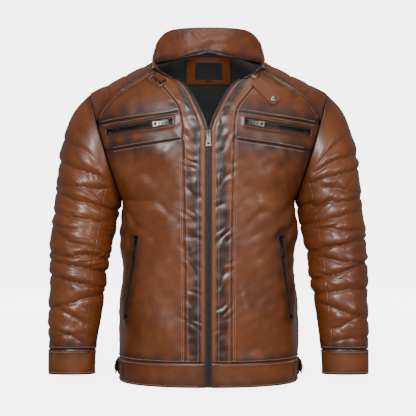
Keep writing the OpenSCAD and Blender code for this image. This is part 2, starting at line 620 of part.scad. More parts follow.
// The throat strap lies along its own Z, sewn at its upper end
strap_end_r = 5;
module at_strap() on_front(110, 561.5, 39, strap_t/2 + 0.5) translate([0, 0, strap_l/2]) children();
module throat_strap() {
    color(tan_leather) at_strap() rotate([90, 0, 0]) linear_extrude(strap_t, center = true) hull() {
        translate([-strap_w/2, -1]) square([strap_w, 1]);
        for (s = [1, -1]) translate([s*(strap_w/2 - strap_end_r), -strap_l + strap_end_r]) circle(r = strap_end_r);
    }
}
// Snap socket on the leather above the strap
module throat_socket() {
    color(metal) on_front(86, 591, 0, 0.4) rotate([90, 0, 0]) difference() {
        cylinder(d = snap_d - 3, h = 2);
        translate([0, 0, 0.8]) cylinder(d = 4, h = 2);
    }
}
// Domed cap on the face of a strap, axis along -Y
module snap_cap() {
    color(metal) rotate([90, 0, 0]) translate([0, 0, strap_t/2]) {
        rotate_extrude() polygon(concat([[0, 0], [snap_d/2, 0], [snap_d/2, 0.7]],
            [for (a = [15:15:90]) [snap_d/2*cos(a), 0.7 + 1.9*sin(a)]]));
    }
}
module throat_snap() at_strap() translate([0, 0, -strap_l + 10]) snap_cap();

// ---- side adjusters on the hem band ----
adj_z = 25;
adj_y = 6;                   // where the strap folds round the ring
flap_l = 36;
tab_lift = 0.3;              // clearance between the hem band and the sewn tabs
loop_lean = 6;               // lean of the rear loop towards the hem band
adj_x = hem_half + fold_gap/2 + strap_t - 0.35;
module waist_tabs() {
    front_a = 67;
    front_b = 88.5;
    color(dark_leather) both() {
        // strap sewn to the hem band under the flap
        translate([0, 0, adj_z - strap_w/2])
            hem_piece(front_a, front_b, 5, strap_w, -tab_lift - strap_t, strap_t);
        // loop sewn behind the ring, folded round its rear bar
        translate([adj_x, adj_y + ring_h, adj_z]) rotate([-90, 0, loop_lean]) rotate([0, 0, -90])
            folded_strap(strap_w, 18, 18, fold_gap);
    }
}
module waist_rings() {
    both() translate([adj_x, adj_y + ring_h/2, adj_z]) rotate([0, 0, 90]) rotate([0, 90, 0])
        wire_ring(ring_w, ring_h);
}
// Flap that starts at the ring's front bar and lies forwards over the sewn strap
module waist_strap(side) {
    turn = fold_gap/2 + strap_t;
    color(dark_leather) on_side(side) translate([adj_x, adj_y, adj_z]) linear_extrude(strap_w, center = true) {
        intersection() {
            difference() {
                circle(r = turn);
                circle(r = fold_gap/2);
            }
            polygon([[0, 0], [2*turn, 0], [2*turn, 2*turn]]);
        }
        translate([fold_gap/2, -flap_l]) square([strap_t, flap_l]);
    }
}
module waist_snap(side) {
    on_side(side) translate([adj_x + fold_gap/2 + strap_t/2, adj_y - flap_l + 11, adj_z])
        rotate([0, 0, 90]) snap_cap();
}

// ---- sleeves ----
// Rings of the left sleeve: [outer x, outer z, inner x, inner z, half depth, middle y, forward tilt]
sleeve_keys = [
    [tip_x + 0.6, tip_z, armpit_x + 0.6, armpit_z, armhole_half, 0, 0],
    [262, 540, 174.5, 347, 79, -1, 0],
    [281, 505, 176.5, 338, 77, -3, 0],
    [294, 450, 179, 325, 73, -7, 0],
    [303.5, 360, 184, 298, 70, -15, 0],
    [311, 280, 191.5, 262, 64, -27, 0.02],
    [312, 220, 199.5, 215, 58, -37, 0.04],
    [312, 140, 209, 138, 50, -48, 0.06],
    [312, cuff_z + cuff_h, 218.5, cuff_z + cuff_h, 40, -56, 0.08],
    [312.5, cuff_z + 3.2, 221, cuff_z + 3.2, 38, -58, 0.08],
];
last_ring = len(sleeve_keys) - 2;        // the ring at the top of the cuff
function ring_row(t) = along(sleeve_keys, t);
// Point of the ring t at the angle a (0 outside, 90 in front), pushed in by d
function sleeve_point(t, a, d) =
    let (r = ring_row(t), o = [r[0], r[1]], i = [r[2], r[3]], h = norm(o - i)/2, u = (o - i)/(2*h),
         m = (o + i)/2, c = cos(a)*(h - d), y = r[5] - sin(a)*(r[4] - d), p = m + u*c)
    [p.x, y, p.y - r[6]*(y - r[5])];
module sleeve_shell(A, T, d, thick) {
    shell([for (t = T) [for (a = A) sleeve_point(t, a, d)]],
          [for (t = T) [for (a = A) sleeve_point(t, a, d + thick)]]);
}
sleeve_rows = [last_ring - 0.008, 7, 6, 5, 4, 3, 2, 1, 0];
sleeve_seam = 122;                       // angle of the sleeve's two seams from its outside
module sleeve_top(side) {
    color(tan_leather) on_side(side)
        sleeve_shell([for (k = [-6:6]) -k/6*(sleeve_seam - 0.3)], sleeve_rows, 0, leather);
}
module sleeve_under(side) {
    color(tan_leather) on_side(side)
        sleeve_shell([for (k = [-3:3]) 180 - k/3*(180 - sleeve_seam - 0.3)], sleeve_rows, 0, leather);
}
module ring_tube(T, d, thick, n) {
    A = [for (k = [0:n - 1]) -360*k/n];
    outer = [for (t = T) each [for (a = A) sleeve_point(t, a, d)]];
    inner = [for (t = T) each [for (a = A) sleeve_point(t, a, d + thick)]];
    rows = len(T);
    count = rows*n;
    function two(a, b, c, e) = [[a, b, c], [a, c, e]];
    faces = [for (i = [0:n - 1]) let (k = (i + 1)%n) each concat(
        [for (j = [0:rows - 2]) each concat(
            two((j + 1)*n + i, (j + 1)*n + k, j*n + k, j*n + i),
            two(count + j*n + k, count + (j + 1)*n + k, count + (j + 1)*n + i, count + j*n + i))],
        two(count + k, count + i, i, k),
        two(count + (rows - 1)*n + i, count + (rows - 1)*n + k, (rows - 1)*n + k, (rows - 1)*n + i))];
    polyhedron(concat(outer, inner), faces, convexity = 6);
}
module sleeve_lining(side) {
    color(black_cloth) on_side(side)
        ring_tube([last_ring + 0.1, 7, 6, 5, 4, 3, 2, 1, 0.05], leather + 2.2, cloth, 18);
}
module cuff(side) {
    color(tan_leather) on_side(side) ring_tube([last_ring + 1, last_ring + 0.008], 0, leather + 0.5, 24);
}

front_panel("right");  // front_panel_right
front_panel("left");  // front_panel_left
chest_band("right");  // chest_band_right
chest_band("left");  // chest_band_left
chest_yoke("right");  // chest_yoke_right
chest_yoke("left");  // chest_yoke_left
shoulder_panel("right");  // shoulder_panel_right
shoulder_panel("left");  // shoulder_panel_left
yoke_piping();
placket("right");  // placket_right
placket("left");  // placket_left
back_panel();
back_yoke();
waistband("right");  // waistband_right
waistband("left");  // waistband_left
waistband_back();
collar_outer();
collar_facing();
front_facings();
body_lining();
neck_patch();
neck_label();
size_tag();
zip_tapes();
zip_chains();
zip_stops();
zip_slider();
zip_pull();
chest_zip_tapes();
chest_zip_chains();
chest_slider("right");  // chest_slider_right
chest_slider("left");  // chest_slider_left
chest_pull("right");  // chest_pull_right
chest_pull("left");  // chest_pull_left
side_zip_tapes();
side_zip_chains();
side_slider("right");  // side_slider_right
side_slider("left");  // side_slider_left
side_pull("right");  // side_pull_right
side_pull("left");  // side_pull_left
pocket_bags();
throat_tab();
throat_ring();
throat_strap();
throat_snap();
throat_socket();
waist_tabs();
waist_rings();
waist_strap("right");  // waist_strap_right
waist_strap("left");  // waist_strap_left
waist_snap("right");  // waist_snap_right
waist_snap("left");  // waist_snap_left
sleeve_top("right");  // sleeve_top_right
sleeve_top("left");  // sleeve_top_left
sleeve_under("right");  // sleeve_under_right
sleeve_under("left");  // sleeve_under_left
sleeve_lining("right");  // sleeve_lining_right
sleeve_lining("left");  // sleeve_lining_left
cuff("right");  // cuff_right
cuff("left");  // cuff_left
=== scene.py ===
import math

import bpy
import numpy as np
from bpy.props import FloatProperty, FloatVectorProperty, PointerProperty
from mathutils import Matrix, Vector


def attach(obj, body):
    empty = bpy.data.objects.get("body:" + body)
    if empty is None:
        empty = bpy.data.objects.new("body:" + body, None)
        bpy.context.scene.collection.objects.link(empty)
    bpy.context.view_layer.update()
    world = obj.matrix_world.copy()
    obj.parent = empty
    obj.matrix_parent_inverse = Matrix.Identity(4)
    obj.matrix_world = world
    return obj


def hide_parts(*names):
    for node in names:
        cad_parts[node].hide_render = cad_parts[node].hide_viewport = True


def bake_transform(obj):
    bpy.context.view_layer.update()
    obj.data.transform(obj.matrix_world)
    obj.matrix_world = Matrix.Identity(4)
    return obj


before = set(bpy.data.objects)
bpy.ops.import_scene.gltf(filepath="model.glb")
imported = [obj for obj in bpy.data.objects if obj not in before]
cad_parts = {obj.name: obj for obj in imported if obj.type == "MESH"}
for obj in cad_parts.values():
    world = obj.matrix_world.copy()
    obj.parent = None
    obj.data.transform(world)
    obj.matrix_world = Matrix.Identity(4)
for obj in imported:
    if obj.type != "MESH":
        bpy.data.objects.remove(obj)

bl_info = {
    "name": "Leather Riding Jacket",
    "version": (1, 0, 0),
    "blender": (4, 5, 0),
    "location": "View3D > Sidebar > Jacket",
    "description": "Builds a leather riding jacket's leather, lining, zips and stitching on its frame",
    "category": "Add Mesh",
}

COAT = "coat"
MM = 0.001                 # the cut below is in millimetres, and meshes are in metres
ROUND = 2.4                # superellipse exponent of the body's rings
EDGE = 6.0                 # distance of the leather's edge from the zip's middle
SLOT_HALF = 6.2            # half width of a pocket's slot
SLOT_END = 4.0             # room past each end of a pocket's zip
SEAM = 0.5                 # clear seam between two neighbouring pieces
LEATHER = 1.4              # thickness of the outer leather
FACING_IN, FACING_T = 3.0, 1.0
HANG_IN = 10.0             # depth of the lining where it hangs free
EDGE_IN = FACING_IN + FACING_T + 0.6
ZIP_IN, CHEST_IN, HIP_IN = 2.15, 3.6, 4.4
TEETH_W, TEETH_T, WEDGE_SLOT, TAPE_T = 2.5, 2.4, 1.4, 0.5
CHAIN_OUT = WEDGE_SLOT/2 + TEETH_W
MESHED_W = TEETH_W + 0.55  # length of a tooth that reaches between its neighbours across the middle
TEETH_FROM = 6.5           # height of the front zip's first tooth
FIRST_TOOTH = 2.2          # distance of a pocket zip's first tooth from the zip's end
BAND_H, ZIP_TOP, YOKE_Z = 46.0, 487.0, 470.0
SEAM_Z = BAND_H + SEAM
TIP_GAP = 2.0              # half angle kept open at the shoulder tip
OPEN_TOP = 587.0           # top of the zip's open part
SLEEVE_SEAM = 122.0        # angle of the sleeve's two seams from its outside

# The stage, in metres and watts
CAMERA_FAR, CAMERA_UP = 2.4, 0.340     # the camera's distance and height
SEEN_WIDTH = 0.832                     # width that the view takes in at the jacket's middle
SENSOR = 36                            # the camera's sensor, mm
CAMERA_SHIFT = -0.0012                 # sideways shift of the view, as a share of its width
LAMP_AIM = (0, 0, 0.33)
LAMPS = (                              # name, place, width, power
    ("key", (-0.5, -2.4, 1.2), 0.7, 52),
    ("fill", (1.4, -2.1, 0.9), 0.6, 15),
    ("top", (0.3, -0.9, 2.3), 0.8, 8),
    ("back", (-0.5, 2.3, 1.3), 1.6, 34),
    ("back_side", (1.4, 2.0, 0.4), 0.8, 12),
)
LAMP_SHAPE = 0.8                       # a lamp's height as a share of its width
SKY_COLOUR, SKY_STRENGTH = (0.95, 0.97, 1.0, 1), 0.26
FLOOR_FLAT, FLOOR_RISE, WALL_TOP = 9, 2, 9.0       # radii of the floor and of its rise, height of its wall
FLOOR_DROP = 0.0006                    # how far the floor lies under the hem
FLOOR_TURNS = 96                       # points round the floor


# ---------------------------------------------------------------- helpers
def lerp(a, b, t):
    """Straight line from a at t = 0 to b at t = 1."""
    return a + (b - a)*t


def unit(v):
    """Each vector divided by its length."""
    return v/np.maximum(np.linalg.norm(v, axis=-1, keepdims=True), 1e-12)


def smooth(a, b, x):
    """0 below a, 1 above b and 3u^2 - 2u^3 between them."""
    u = np.clip((x - a)/(b - a), 0, 1)
    return u*u*(3 - 2*u)


def curve(keys):
    """Smooth curve through (place, value) keys that never overshoots them: cubic Hermite pieces, each
    key's slope the harmonic mean of its two neighbouring slopes, or 0 at a peak."""
    k = np.array(keys, float)
    x, y = k[:, 0], k[:, 1]
    slope = np.diff(y)/np.diff(x)
    m = np.zeros(len(x))
    same = slope[:-1]*slope[1:] > 0
    m[1:-1][same] = (2*slope[:-1]*slope[1:])[same]/(slope[:-1] + slope[1:])[same]
    m[0], m[-1] = slope[0], slope[-1]

    def value(at):
        at = np.clip(np.asarray(at, float), x[0], x[-1])
        i = np.clip(np.searchsorted(x, at, side="right") - 1, 0, len(x) - 2)
        h = x[i + 1] - x[i]
        u = (at - x[i])/h
        return ((2*u**3 - 3*u**2 + 1)*y[i] + (u**3 - 2*u**2 + u)*h*m[i]
                + (3*u**2 - 2*u**3)*y[i + 1] + (u**3 - u**2)*h*m[i + 1])
    return value


def along(knots, t):
    """Value at t on a row of knots, where knot k is at t = k."""
    t = np.asarray(t, float)
    rows = np.stack([np.broadcast_to(np.asarray(k, float), t.shape) for k in knots])
    k = np.clip(np.floor(t).astype(int), 0, len(knots) - 2)
    low = np.take_along_axis(rows, k[None], 0)[0]
    high = np.take_along_axis(rows, k[None] + 1, 0)[0]
    return lerp(low, high, t - k)


def ticks(length, step, fine=1.0, band=4.0):
    """Shares of a length from 0 to 1, a fine step apart near both ends and a step apart between."""
    if length < 2.5*band:
        return np.linspace(0, 1, max(2, int(round(length/fine)) + 1))
    n = int(round(band/fine))
    first = np.arange(n)*fine
    middle = np.linspace(band, length - band, max(2, int(round((length - 2*band)/step)) + 1))
    return np.concatenate([first, middle, length - first[::-1]])/length


def runs(lengths, step):
    """Ticks for a row of stretches, the k-th stretch from k to k + 1."""
    parts = [ticks(length, step)[:-1] + k for k, length in enumerate(lengths)]
    return np.concatenate(parts + [[float(len(lengths))]])


def waves(u, v, length, seed, count=9, stretch=1.0):
    """Soft noise from about -1 to 1: a sum of sine waves of about the given length in mm, each in its own
    direction, longer along v by the factor stretch."""
    rng = np.random.default_rng(seed)
    turn = rng.uniform(0, 2*np.pi, count)
    size = 2*np.pi/length*rng.uniform(0.6, 1.5, count)
    phase = rng.uniform(0, 2*np.pi, count)
    total = 0
    for a, k, p in zip(turn, size, phase):
        total = total + np.sin(k*(np.cos(a)*u + np.sin(a)*v/stretch) + p)
    return total/math.sqrt(count)*0.8


def crease(phase, sharp=0.25):
    """Round crests and narrow valleys, from 0 to 1: the softened size of a sine."""
    return np.sqrt(np.sin(phase)**2 + sharp**2) - sharp


# ---------------------------------------------------------------- the cut
front_fall = curve([(0, 0), (ZIP_TOP, 0), (510, -1.5), (530, -6), (550, -12), (567, -20), (585, -30),
                    (600, -40), (620, -57), (638, -75), (662, -97)])
back_fall = curve([(0, -9), (46, -9), (150, -14), (250, -15), (350, -8), (450, 0), (500, -2), (540, -10),
                   (567, -20), (600, -34), (620, -44), (638, -55), (650, -64), (664, -75)])
v_x = curve([(0, EDGE), (ZIP_TOP, EDGE), (500, 9.5), (517, 16), (541, 27), (564, 40), (577, 50), (590, 70),
             (604, 92), (612, 101)])
placket_x = curve([(0, 43), (46, 43), (471, 48), (525, 53), (557, 74), (580, 92), (604, 99.5), (612, 103)])
piping_x = curve([(508, 216), (522, 212), (536, 201), (556, 182), (573, 156), (598, 119), (612, 106),
                  (640, 80)])
back_piping_x = curve([(508, 217), (530, 208), (555, 190), (575, 162), (600, 126), (630, 94), (650, 66),
                       (664, 45)])
facing_x = curve([(0, 42), (ZIP_TOP, 42), (520, 48), (545, 60), (565, 72), (580, 84), (600, 100), (612, 105)])
neck_height = curve([(0, 565), (9.9, 577), (15.5, 587), (30, 604), (41, 613), (61, 627), (90, 638),
                     (135, 654), (180, 665)])
CHEST_SLOPE = 16/115       # fall of the chest seams and pocket outwards
CHEST_X = 48               # where the two chest seams start: the placket's seam
CHEST_LOW_Z, CHEST_HIGH_Z = 471, 525
CHEST_ZIP_X, CHEST_ZIP_Z = 74, 503     # the chest zip's inner end
HIP_LENGTH, HIP_RISE = 154, 0.974      # length of a side pocket's zip, and its rise as a share of that
HIP_LOW_X, HIP_TOP_X, HIP_TOP_Z = 161, 141, 280.0
# Heights that the panels beside the armhole share
ARM_ROWS = [508, 522, 537, 552, 560, 567]


class Cut:
    """The jacket's cut: the body's surface as one superellipse at each height, and the sleeves as rings.
    Angles are in degrees, 0 at the front, 90 at the left side and 180 at the back."""

    def __init__(self, sizes):
        for name in ("hem_half", "waist_half", "front_depth", "back_depth", "armpit_z", "armpit_x", "tip_z",
                     "tip_x", "armhole_half", "neck_z", "neck_x", "cuff_z", "cuff_h"):
            setattr(self, name, getattr(sizes, name)/MM)
        self.side = curve([(0, self.hem_half), (BAND_H, self.hem_half), (150, self.hem_half - 3),
                           (250, self.waist_half + 0.5), (300, self.waist_half),
                           (self.armpit_z, self.armpit_x)])
        low_z, top_z = np.array(HIP_TOP_Z - HIP_LENGTH*HIP_RISE), np.array(HIP_TOP_Z)
        self.low = self.surf(self.angle_at(HIP_LOW_X, low_z), low_z)
        self.top = self.surf(self.angle_at(HIP_TOP_X, HIP_TOP_Z), top_z)
        self.rings = np.array([
            [self.tip_x + 0.6, self.tip_z, self.armpit_x + 0.6, self.armpit_z, self.armhole_half, 0, 0],
            [262, 540, 174.5, 347, 79, -1, 0],
            [281, 505, 176.5, 338, 77, -3, 0],
            [294, 450, 179, 325, 73, -7, 0],
            [303.5, 360, 184, 298, 70, -15, 0],
            [311, 280, 191.5, 262, 64, -27, 0.02],
            [312, 220, 199.5, 215, 58, -37, 0.04],
            [312, 140, 209, 138, 50, -48, 0.06],
            [312, self.cuff_z + self.cuff_h, 218.5, self.cuff_z + self.cuff_h, 40, -56, 0.08],
            [312.5, self.cuff_z + 3.2, 221, self.cuff_z + 3.2, 38, -58, 0.08],
        ])
        self.ring_curves = [curve(list(enumerate(column))) for column in self.rings.T]

    def depth_front(self, z):
        """Depth of the front from the middle plane."""
        return self.front_depth + front_fall(z)

    def depth_back(self, z):
        """Depth of the back from the middle plane."""
        return self.back_depth + back_fall(z)

    def arm_t(self, z):
        """Share of the way up the armhole: 0 at the armpit, 1 at the shoulder tip."""
        return (z - self.armpit_z)/(self.tip_z - self.armpit_z)

    def arm_x(self, z):
        """The armhole's plane: a straight line from the armpit to the shoulder tip."""
        return lerp(self.armpit_x, self.tip_x, self.arm_t(z))

    def half_width(self, z):
        """Below the armpit the side's own curve. Beside the armhole, the width of the ring that passes
        through the armhole's edge. Above, a straight line to the neck."""
        z = np.asarray(z, float)
        t = np.clip(self.arm_t(z), 0, 1)
        y = self.armhole_half*np.sqrt(np.maximum(0, 1 - (2*t - 1)**2))
        beside = lerp(self.armpit_x, self.tip_x, t)/(1 - (y/self.depth_front(z))**ROUND)**(1/ROUND)
        above = self.tip_x - (z - self.tip_z)*(self.tip_x - self.neck_x)/(self.neck_z - self.tip_z)
        return np.where(z < self.armpit_z, self.side(z), np.where(z < self.tip_z, beside, above))

    def surf(self, th, z):
        """Point at an angle and a height: x = half width times sin^(2/n), y = -depth times cos^(2/n)."""
        a = np.radians(th)
        c, s = np.cos(a), np.sin(a)
        z = np.broadcast_to(np.asarray(z, float), c.shape)
        b = np.where(c > 0, self.depth_front(z), self.depth_back(z))
        return np.stack([self.half_width(z)*np.sign(s)*np.abs(s)**(2/ROUND),
                         -b*np.sign(c)*np.abs(c)**(2/ROUND), z], -1)

    def normal(self, th, z):
        """Outward direction: across two short steps along the surface."""
        return unit(np.cross(self.surf(th + 1, z) - self.surf(th - 1, z),
                             self.surf(th, z + 2) - self.surf(th, z - 2)))

    def angle_at(self, x, z):
        """Angle of the point that lies x from the middle plane, in front."""
        return np.degrees(np.arcsin(np.clip(x/self.half_width(z), 0, 1)**(ROUND/2)))

    def arm_edge(self, z):
        """The armhole's edge, kept apart from the shoulder tip and the armpit."""
        inside = (z >= self.armpit_z) & (z < self.tip_z)
        angle = np.where(inside, self.angle_at(self.arm_x(z), z), 90.0)
        return np.minimum(90 - TIP_GAP, angle - 0.25)

    def side_slot(self, z):
        """Angle of the side pocket's middle line."""
        t = np.clip((z - self.low[2])/(self.top[2] - self.low[2]), 0, 1)
        return lerp(self.angle_at(HIP_LOW_X, self.low[2]), self.angle_at(HIP_TOP_X, self.top[2]), t)

    def slot_angle(self, th, z):
        """Half a slot's width as an angle, with 4% over."""
        return 1.04*SLOT_HALF/np.linalg.norm(self.surf(th + 0.5, z) - self.surf(th - 0.5, z), axis=-1)

    def sleeve_point(self, t, a, d):
        """Point of the left sleeve's ring t at the angle a (0 outside, 90 in front), pushed in by d: an
        ellipse between the ring's outer and inner point, tilted forwards."""
        ox, oz, ix, iz, half, mid_y, tilt = [c(t) for c in self.ring_curves]
        h = np.hypot(ox - ix, oz - iz)/2
        ux, uz = (ox - ix)/(2*h), (oz - iz)/(2*h)
        c = np.cos(np.radians(a))*(h - d)
        y = mid_y - np.sin(np.radians(a))*(half - d)
        return np.stack([(ox + ix)/2 + ux*c, y, (oz + iz)/2 + uz*c - tilt*(y - mid_y)], -1)


def band_low(x):
    """Height of the lower chest seam: a straight line that falls outwards."""
    return CHEST_LOW_Z - (x - CHEST_X)*CHEST_SLOPE


def band_high(x):
    """Height of the upper chest seam."""
    return CHEST_HIGH_Z - (x - CHEST_X)*CHEST_SLOPE


def chest_z(x):
    """Height of the chest pocket's middle line."""
    return CHEST_ZIP_Z - (x - CHEST_ZIP_X)*CHEST_SLOPE


# ---------------------------------------------------------------- how the leather lies
def body_relief(cut, th, z):
    """Height of the leather's folds over the cut, in mm: long hanging folds at the sides, creases that
    fan out from the armpits, cross folds at the back's waist, puckers beside the seams and the quilting of
    the shoulders, each faded out by a smooth step near the zips, pockets, straps and edges."""
    p = cut.surf(th, z)
    x, y = p[..., 0], p[..., 1]
    ax = np.abs(x)
    side = np.sign(x)
    front = y < 0
    flank = smooth(75, 150, ax)*smooth(48, 110, z)*(1 - smooth(380, 450, z))
    arc = np.where(front, ax - 0.8*y, ax + 0.8*y)
    hang = waves(arc + side*37 + 0.25*z, z, 62, 3, stretch=3.2)*3.0*(0.4 + 0.6*flank)
    fan_a = np.degrees(np.arctan2(360 - z, 190 - ax))
    fan_r = np.hypot(360 - z, 190 - ax)
    fan = crease(np.radians(fan_a*5.2) + 1.3*waves(ax, z, 90, 5) + side*0.6)
    armpit = 4.2*fan*smooth(18, 50, fan_r)*(1 - smooth(70, 150, fan_r))
    waist = crease(z/11.5 + 1.5*waves(x, z, 120, 7, stretch=0.6) + side*0.4, 0.35)
    cross = 2.6*waist*smooth(90, 150, z)*(1 - smooth(290, 350, z))*np.where(front, 0.22*flank, 1.0)
    broad = waves(x + 400*front + 0.5*z, z, 150, 11)*2.6
    small = waves(x + 300*front, z, 30, 13)*0.4
    total = hang + armpit + cross + broad + small
    calm = smooth(48, 75, z)
    calm = calm*np.where(front, smooth(46, 80, ax), 1)
    calm = calm*(1 - 0.75*smooth(440, 480, z))
    gap = cut.arm_x(z) - ax
    beside_arm = (z > cut.armpit_z - 12) & (z < cut.tip_z + 10)
    calm = calm*np.where(beside_arm, smooth(2, 26, gap), 1)
    neck = np.interp(th % 360, [0, 180, 360], [0, 180, 0])
    calm = calm*smooth(2, 30, neck_height(neck) - z)
    total = total*calm
    # puckers beside the plackets' seams, and the wrinkled face of the plackets
    seam_gap = np.abs(ax - placket_x(z))
    ridge = (z - 1.1*ax)/9.5 + 1.6*waves(x + side*50, z, 70, 17) + side
    pucker = 2.0*(crease(ridge, 0.2) - 0.5)*smooth(-0.35, 0.5, waves(x + side*50, z, 60, 19))
    pucker = pucker + waves(x*0.7 + side*50, z, 26, 18)*0.7
    face = np.where(front & (ax < placket_x(z)), 1.0, 0.55*(1 - smooth(4, 26, seam_gap)))
    total = total + pucker*face*front*smooth(9, 18, ax - v_x(z) + 6)*smooth(50, 62, z)
    # the stitched lip beside the zip
    total = total - 0.9*np.exp(-((ax - v_x(z) - 7.2)/1.5)**2)*front*smooth(48, 56, z)
    # quilting of the shoulders: pads between stitched lines
    above = smooth(0, 8, ax - np.where(front, piping_x(z), back_piping_x(z)))*smooth(505, 512, z)
    pad = 1 - np.exp(-(quilt_gap(ax, z)/3.2)**2) + 0.8*(1 - np.exp(-(quilt_gap(ax, z)/11)**2))
    total = total + 1.1*(pad - 1.2)*above*smooth(3, 12, np.where(z < cut.tip_z, gap, 20))
    # the pockets, the straps and the ring lie on calm leather
    chest = np.where(front, np.abs(z - chest_z(ax)), 99) + 0.6*np.maximum(0, ax - 205) + np.maximum(0, 64 - ax)
    total = total*smooth(9, 24, chest)
    slot = np.radians(np.abs(np.where(th > 180, 360 - th, th) - cut.side_slot(z)))*150
    slot = np.hypot(slot, np.maximum(0, np.maximum(cut.low[2] - z, z - cut.top[2])))
    total = total*np.where(front, smooth(9, 30, slot), 1)
    throat = np.hypot(ax - 100, (z - 572)*0.8)
    total = total*np.where(front, 0.15 + 0.85*smooth(24, 44, throat), 1)
    return total


def quilt_gap(x, z):
    """Distance in mm from the nearest quilting line: the lines lean inwards and lie 44 mm apart."""
    q = (x - 0.42*z + 134)/44
    return np.abs(q - np.round(q))*41


def stain(distance, reach, u, v, seed=29):
    """Dark burnished band beside a seam: fades with the distance over the reach, and the reach itself wanders.
    """
    wander = 1 + 0.45*waves(u, v, 34, seed)
    return np.exp(-(distance/np.maximum(2, reach*wander))**1.25)


# ---------------------------------------------------------------- meshes
def make_piece(name, points, faces, material, attributes=None, body=COAT, node=None, sharp=45):
    """A mesh object in metres from points in mm and arrays of quads or triangles. It rides on its body; when
    body is a tuple of two bodies and the two points a bend would lie between, it is only baked in place."""
    faces = [np.asarray(f, int) for f in faces]
    used = np.unique(np.concatenate([f.ravel() for f in faces]))
    new_index = np.full(len(points), -1)
    new_index[used] = np.arange(len(used))
    faces = [new_index[f] for f in faces]
    co = np.ascontiguousarray(points[used]*MM, np.float32)
    loops = np.concatenate([f.ravel() for f in faces]).astype(np.int32)
    sizes = np.concatenate([np.full(len(f), f.shape[1]) for f in faces])
    starts = np.concatenate([[0], np.cumsum(sizes)[:-1]]).astype(np.int32)
    mesh = bpy.data.meshes.new(name)
    mesh.vertices.add(len(co))
    mesh.vertices.foreach_set("co", co.ravel())
    mesh.loops.add(len(loops))
    mesh.loops.foreach_set("vertex_index", loops)
    mesh.polygons.add(len(starts))
    mesh.polygons.foreach_set("loop_start", starts)
    mesh.update(calc_edges=True)
    for key, values in (attributes or {}).items():
        layer = mesh.attributes.new(key, "FLOAT", "POINT")
        layer.data.foreach_set("value", np.ascontiguousarray(values[used], np.float32))
    mesh.validate()
    mesh.shade_smooth()
    mesh.set_sharp_from_angle(angle=math.radians(sharp))
    mesh.materials.append(material)
    obj = bpy.data.objects.new(name, mesh)
    bpy.context.scene.collection.objects.link(obj)
    if isinstance(body, tuple):
        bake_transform(obj)
    else:
        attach(obj, body)
    if node:
        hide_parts(*([node] if isinstance(node, str) else node))
    return obj


def shell_faces(has, wrap=False):
    """Quads of a closed shell over a grid's cells: each cell outside, each cell inside turned round, and
    a wall wherever a cell has no neighbour."""
    nj, ni = has.shape
    columns = ni if wrap else ni + 1
    index = np.arange((nj + 1)*columns).reshape(nj + 1, columns)
    right = np.roll(index, -1, 1) if wrap else index[:, 1:]
    left = index if wrap else index[:, :-1]
    a, b, c, d = left[:-1], right[:-1], right[1:], left[1:]
    n = index.size
    pad = np.pad(has, ((1, 1), (0, 0) if wrap else (1, 1)))
    middle = pad[1:-1] if wrap else pad[1:-1, 1:-1]
    west = np.roll(middle, 1, 1) if wrap else pad[1:-1, :-2]
    east = np.roll(middle, -1, 1) if wrap else pad[1:-1, 2:]
    south = pad[:-2] if wrap else pad[:-2, 1:-1]
    north = pad[2:] if wrap else pad[2:, 1:-1]

    def quads(mask, *corners):
        return np.stack([k[mask] for k in corners], -1)
    return [quads(has, a, b, c, d), quads(has, d + n, c + n, b + n, a + n),
            quads(has & ~west, a, d, d + n, a + n), quads(has & ~east, c, b, b + n, c + n),
            quads(has & ~south, b, a, a + n, b + n), quads(has & ~north, d, c, c + n, d + n)]


def mirrored(points, faces):
    """The other side's copy: x changes sign, and the faces turn round."""
    return points*[-1, 1, 1], [f[:, ::-1] for f in faces]


def worn_at(edge):
    """How worn the leather is at a distance from its edge: a bell 1.6 mm wide."""
    return np.exp(-(edge/1.6)**2)


def edge_distances(points, window=None):
    """Distance in mm of each grid point from the grid's nearest side, measured along its row and column,
    and from a window of cells given by its first and last column and row."""
    du = np.linalg.norm(np.diff(points, axis=1), axis=-1)
    dv = np.linalg.norm(np.diff(points, axis=0), axis=-1)
    u = np.pad(np.cumsum(du, 1), ((0, 0), (1, 0)))
    v = np.pad(np.cumsum(dv, 0), ((1, 0), (0, 0)))
    sides = np.stack([u, u[:, -1:] - u, v, v[-1:] - v])
    hole = np.full(u.shape, 99.0)
    if window is not None:
        i0, i1, j0, j1 = window
        across = np.maximum(np.maximum(u[:, i0:i0 + 1] - u, u - u[:, i1:i1 + 1]), 0)
        up = np.maximum(np.maximum(v[j0:j0 + 1] - v, v - v[j1:j1 + 1]), 0)
        hole = np.hypot(across, up)
    return sides, hole


def curl(distance, depth=0.9, reach=3.0):
    """How far the leather turns in towards a seam: a parabola over the last few millimetres."""
    return -depth*np.clip(1 - distance/reach, 0, 1)**2


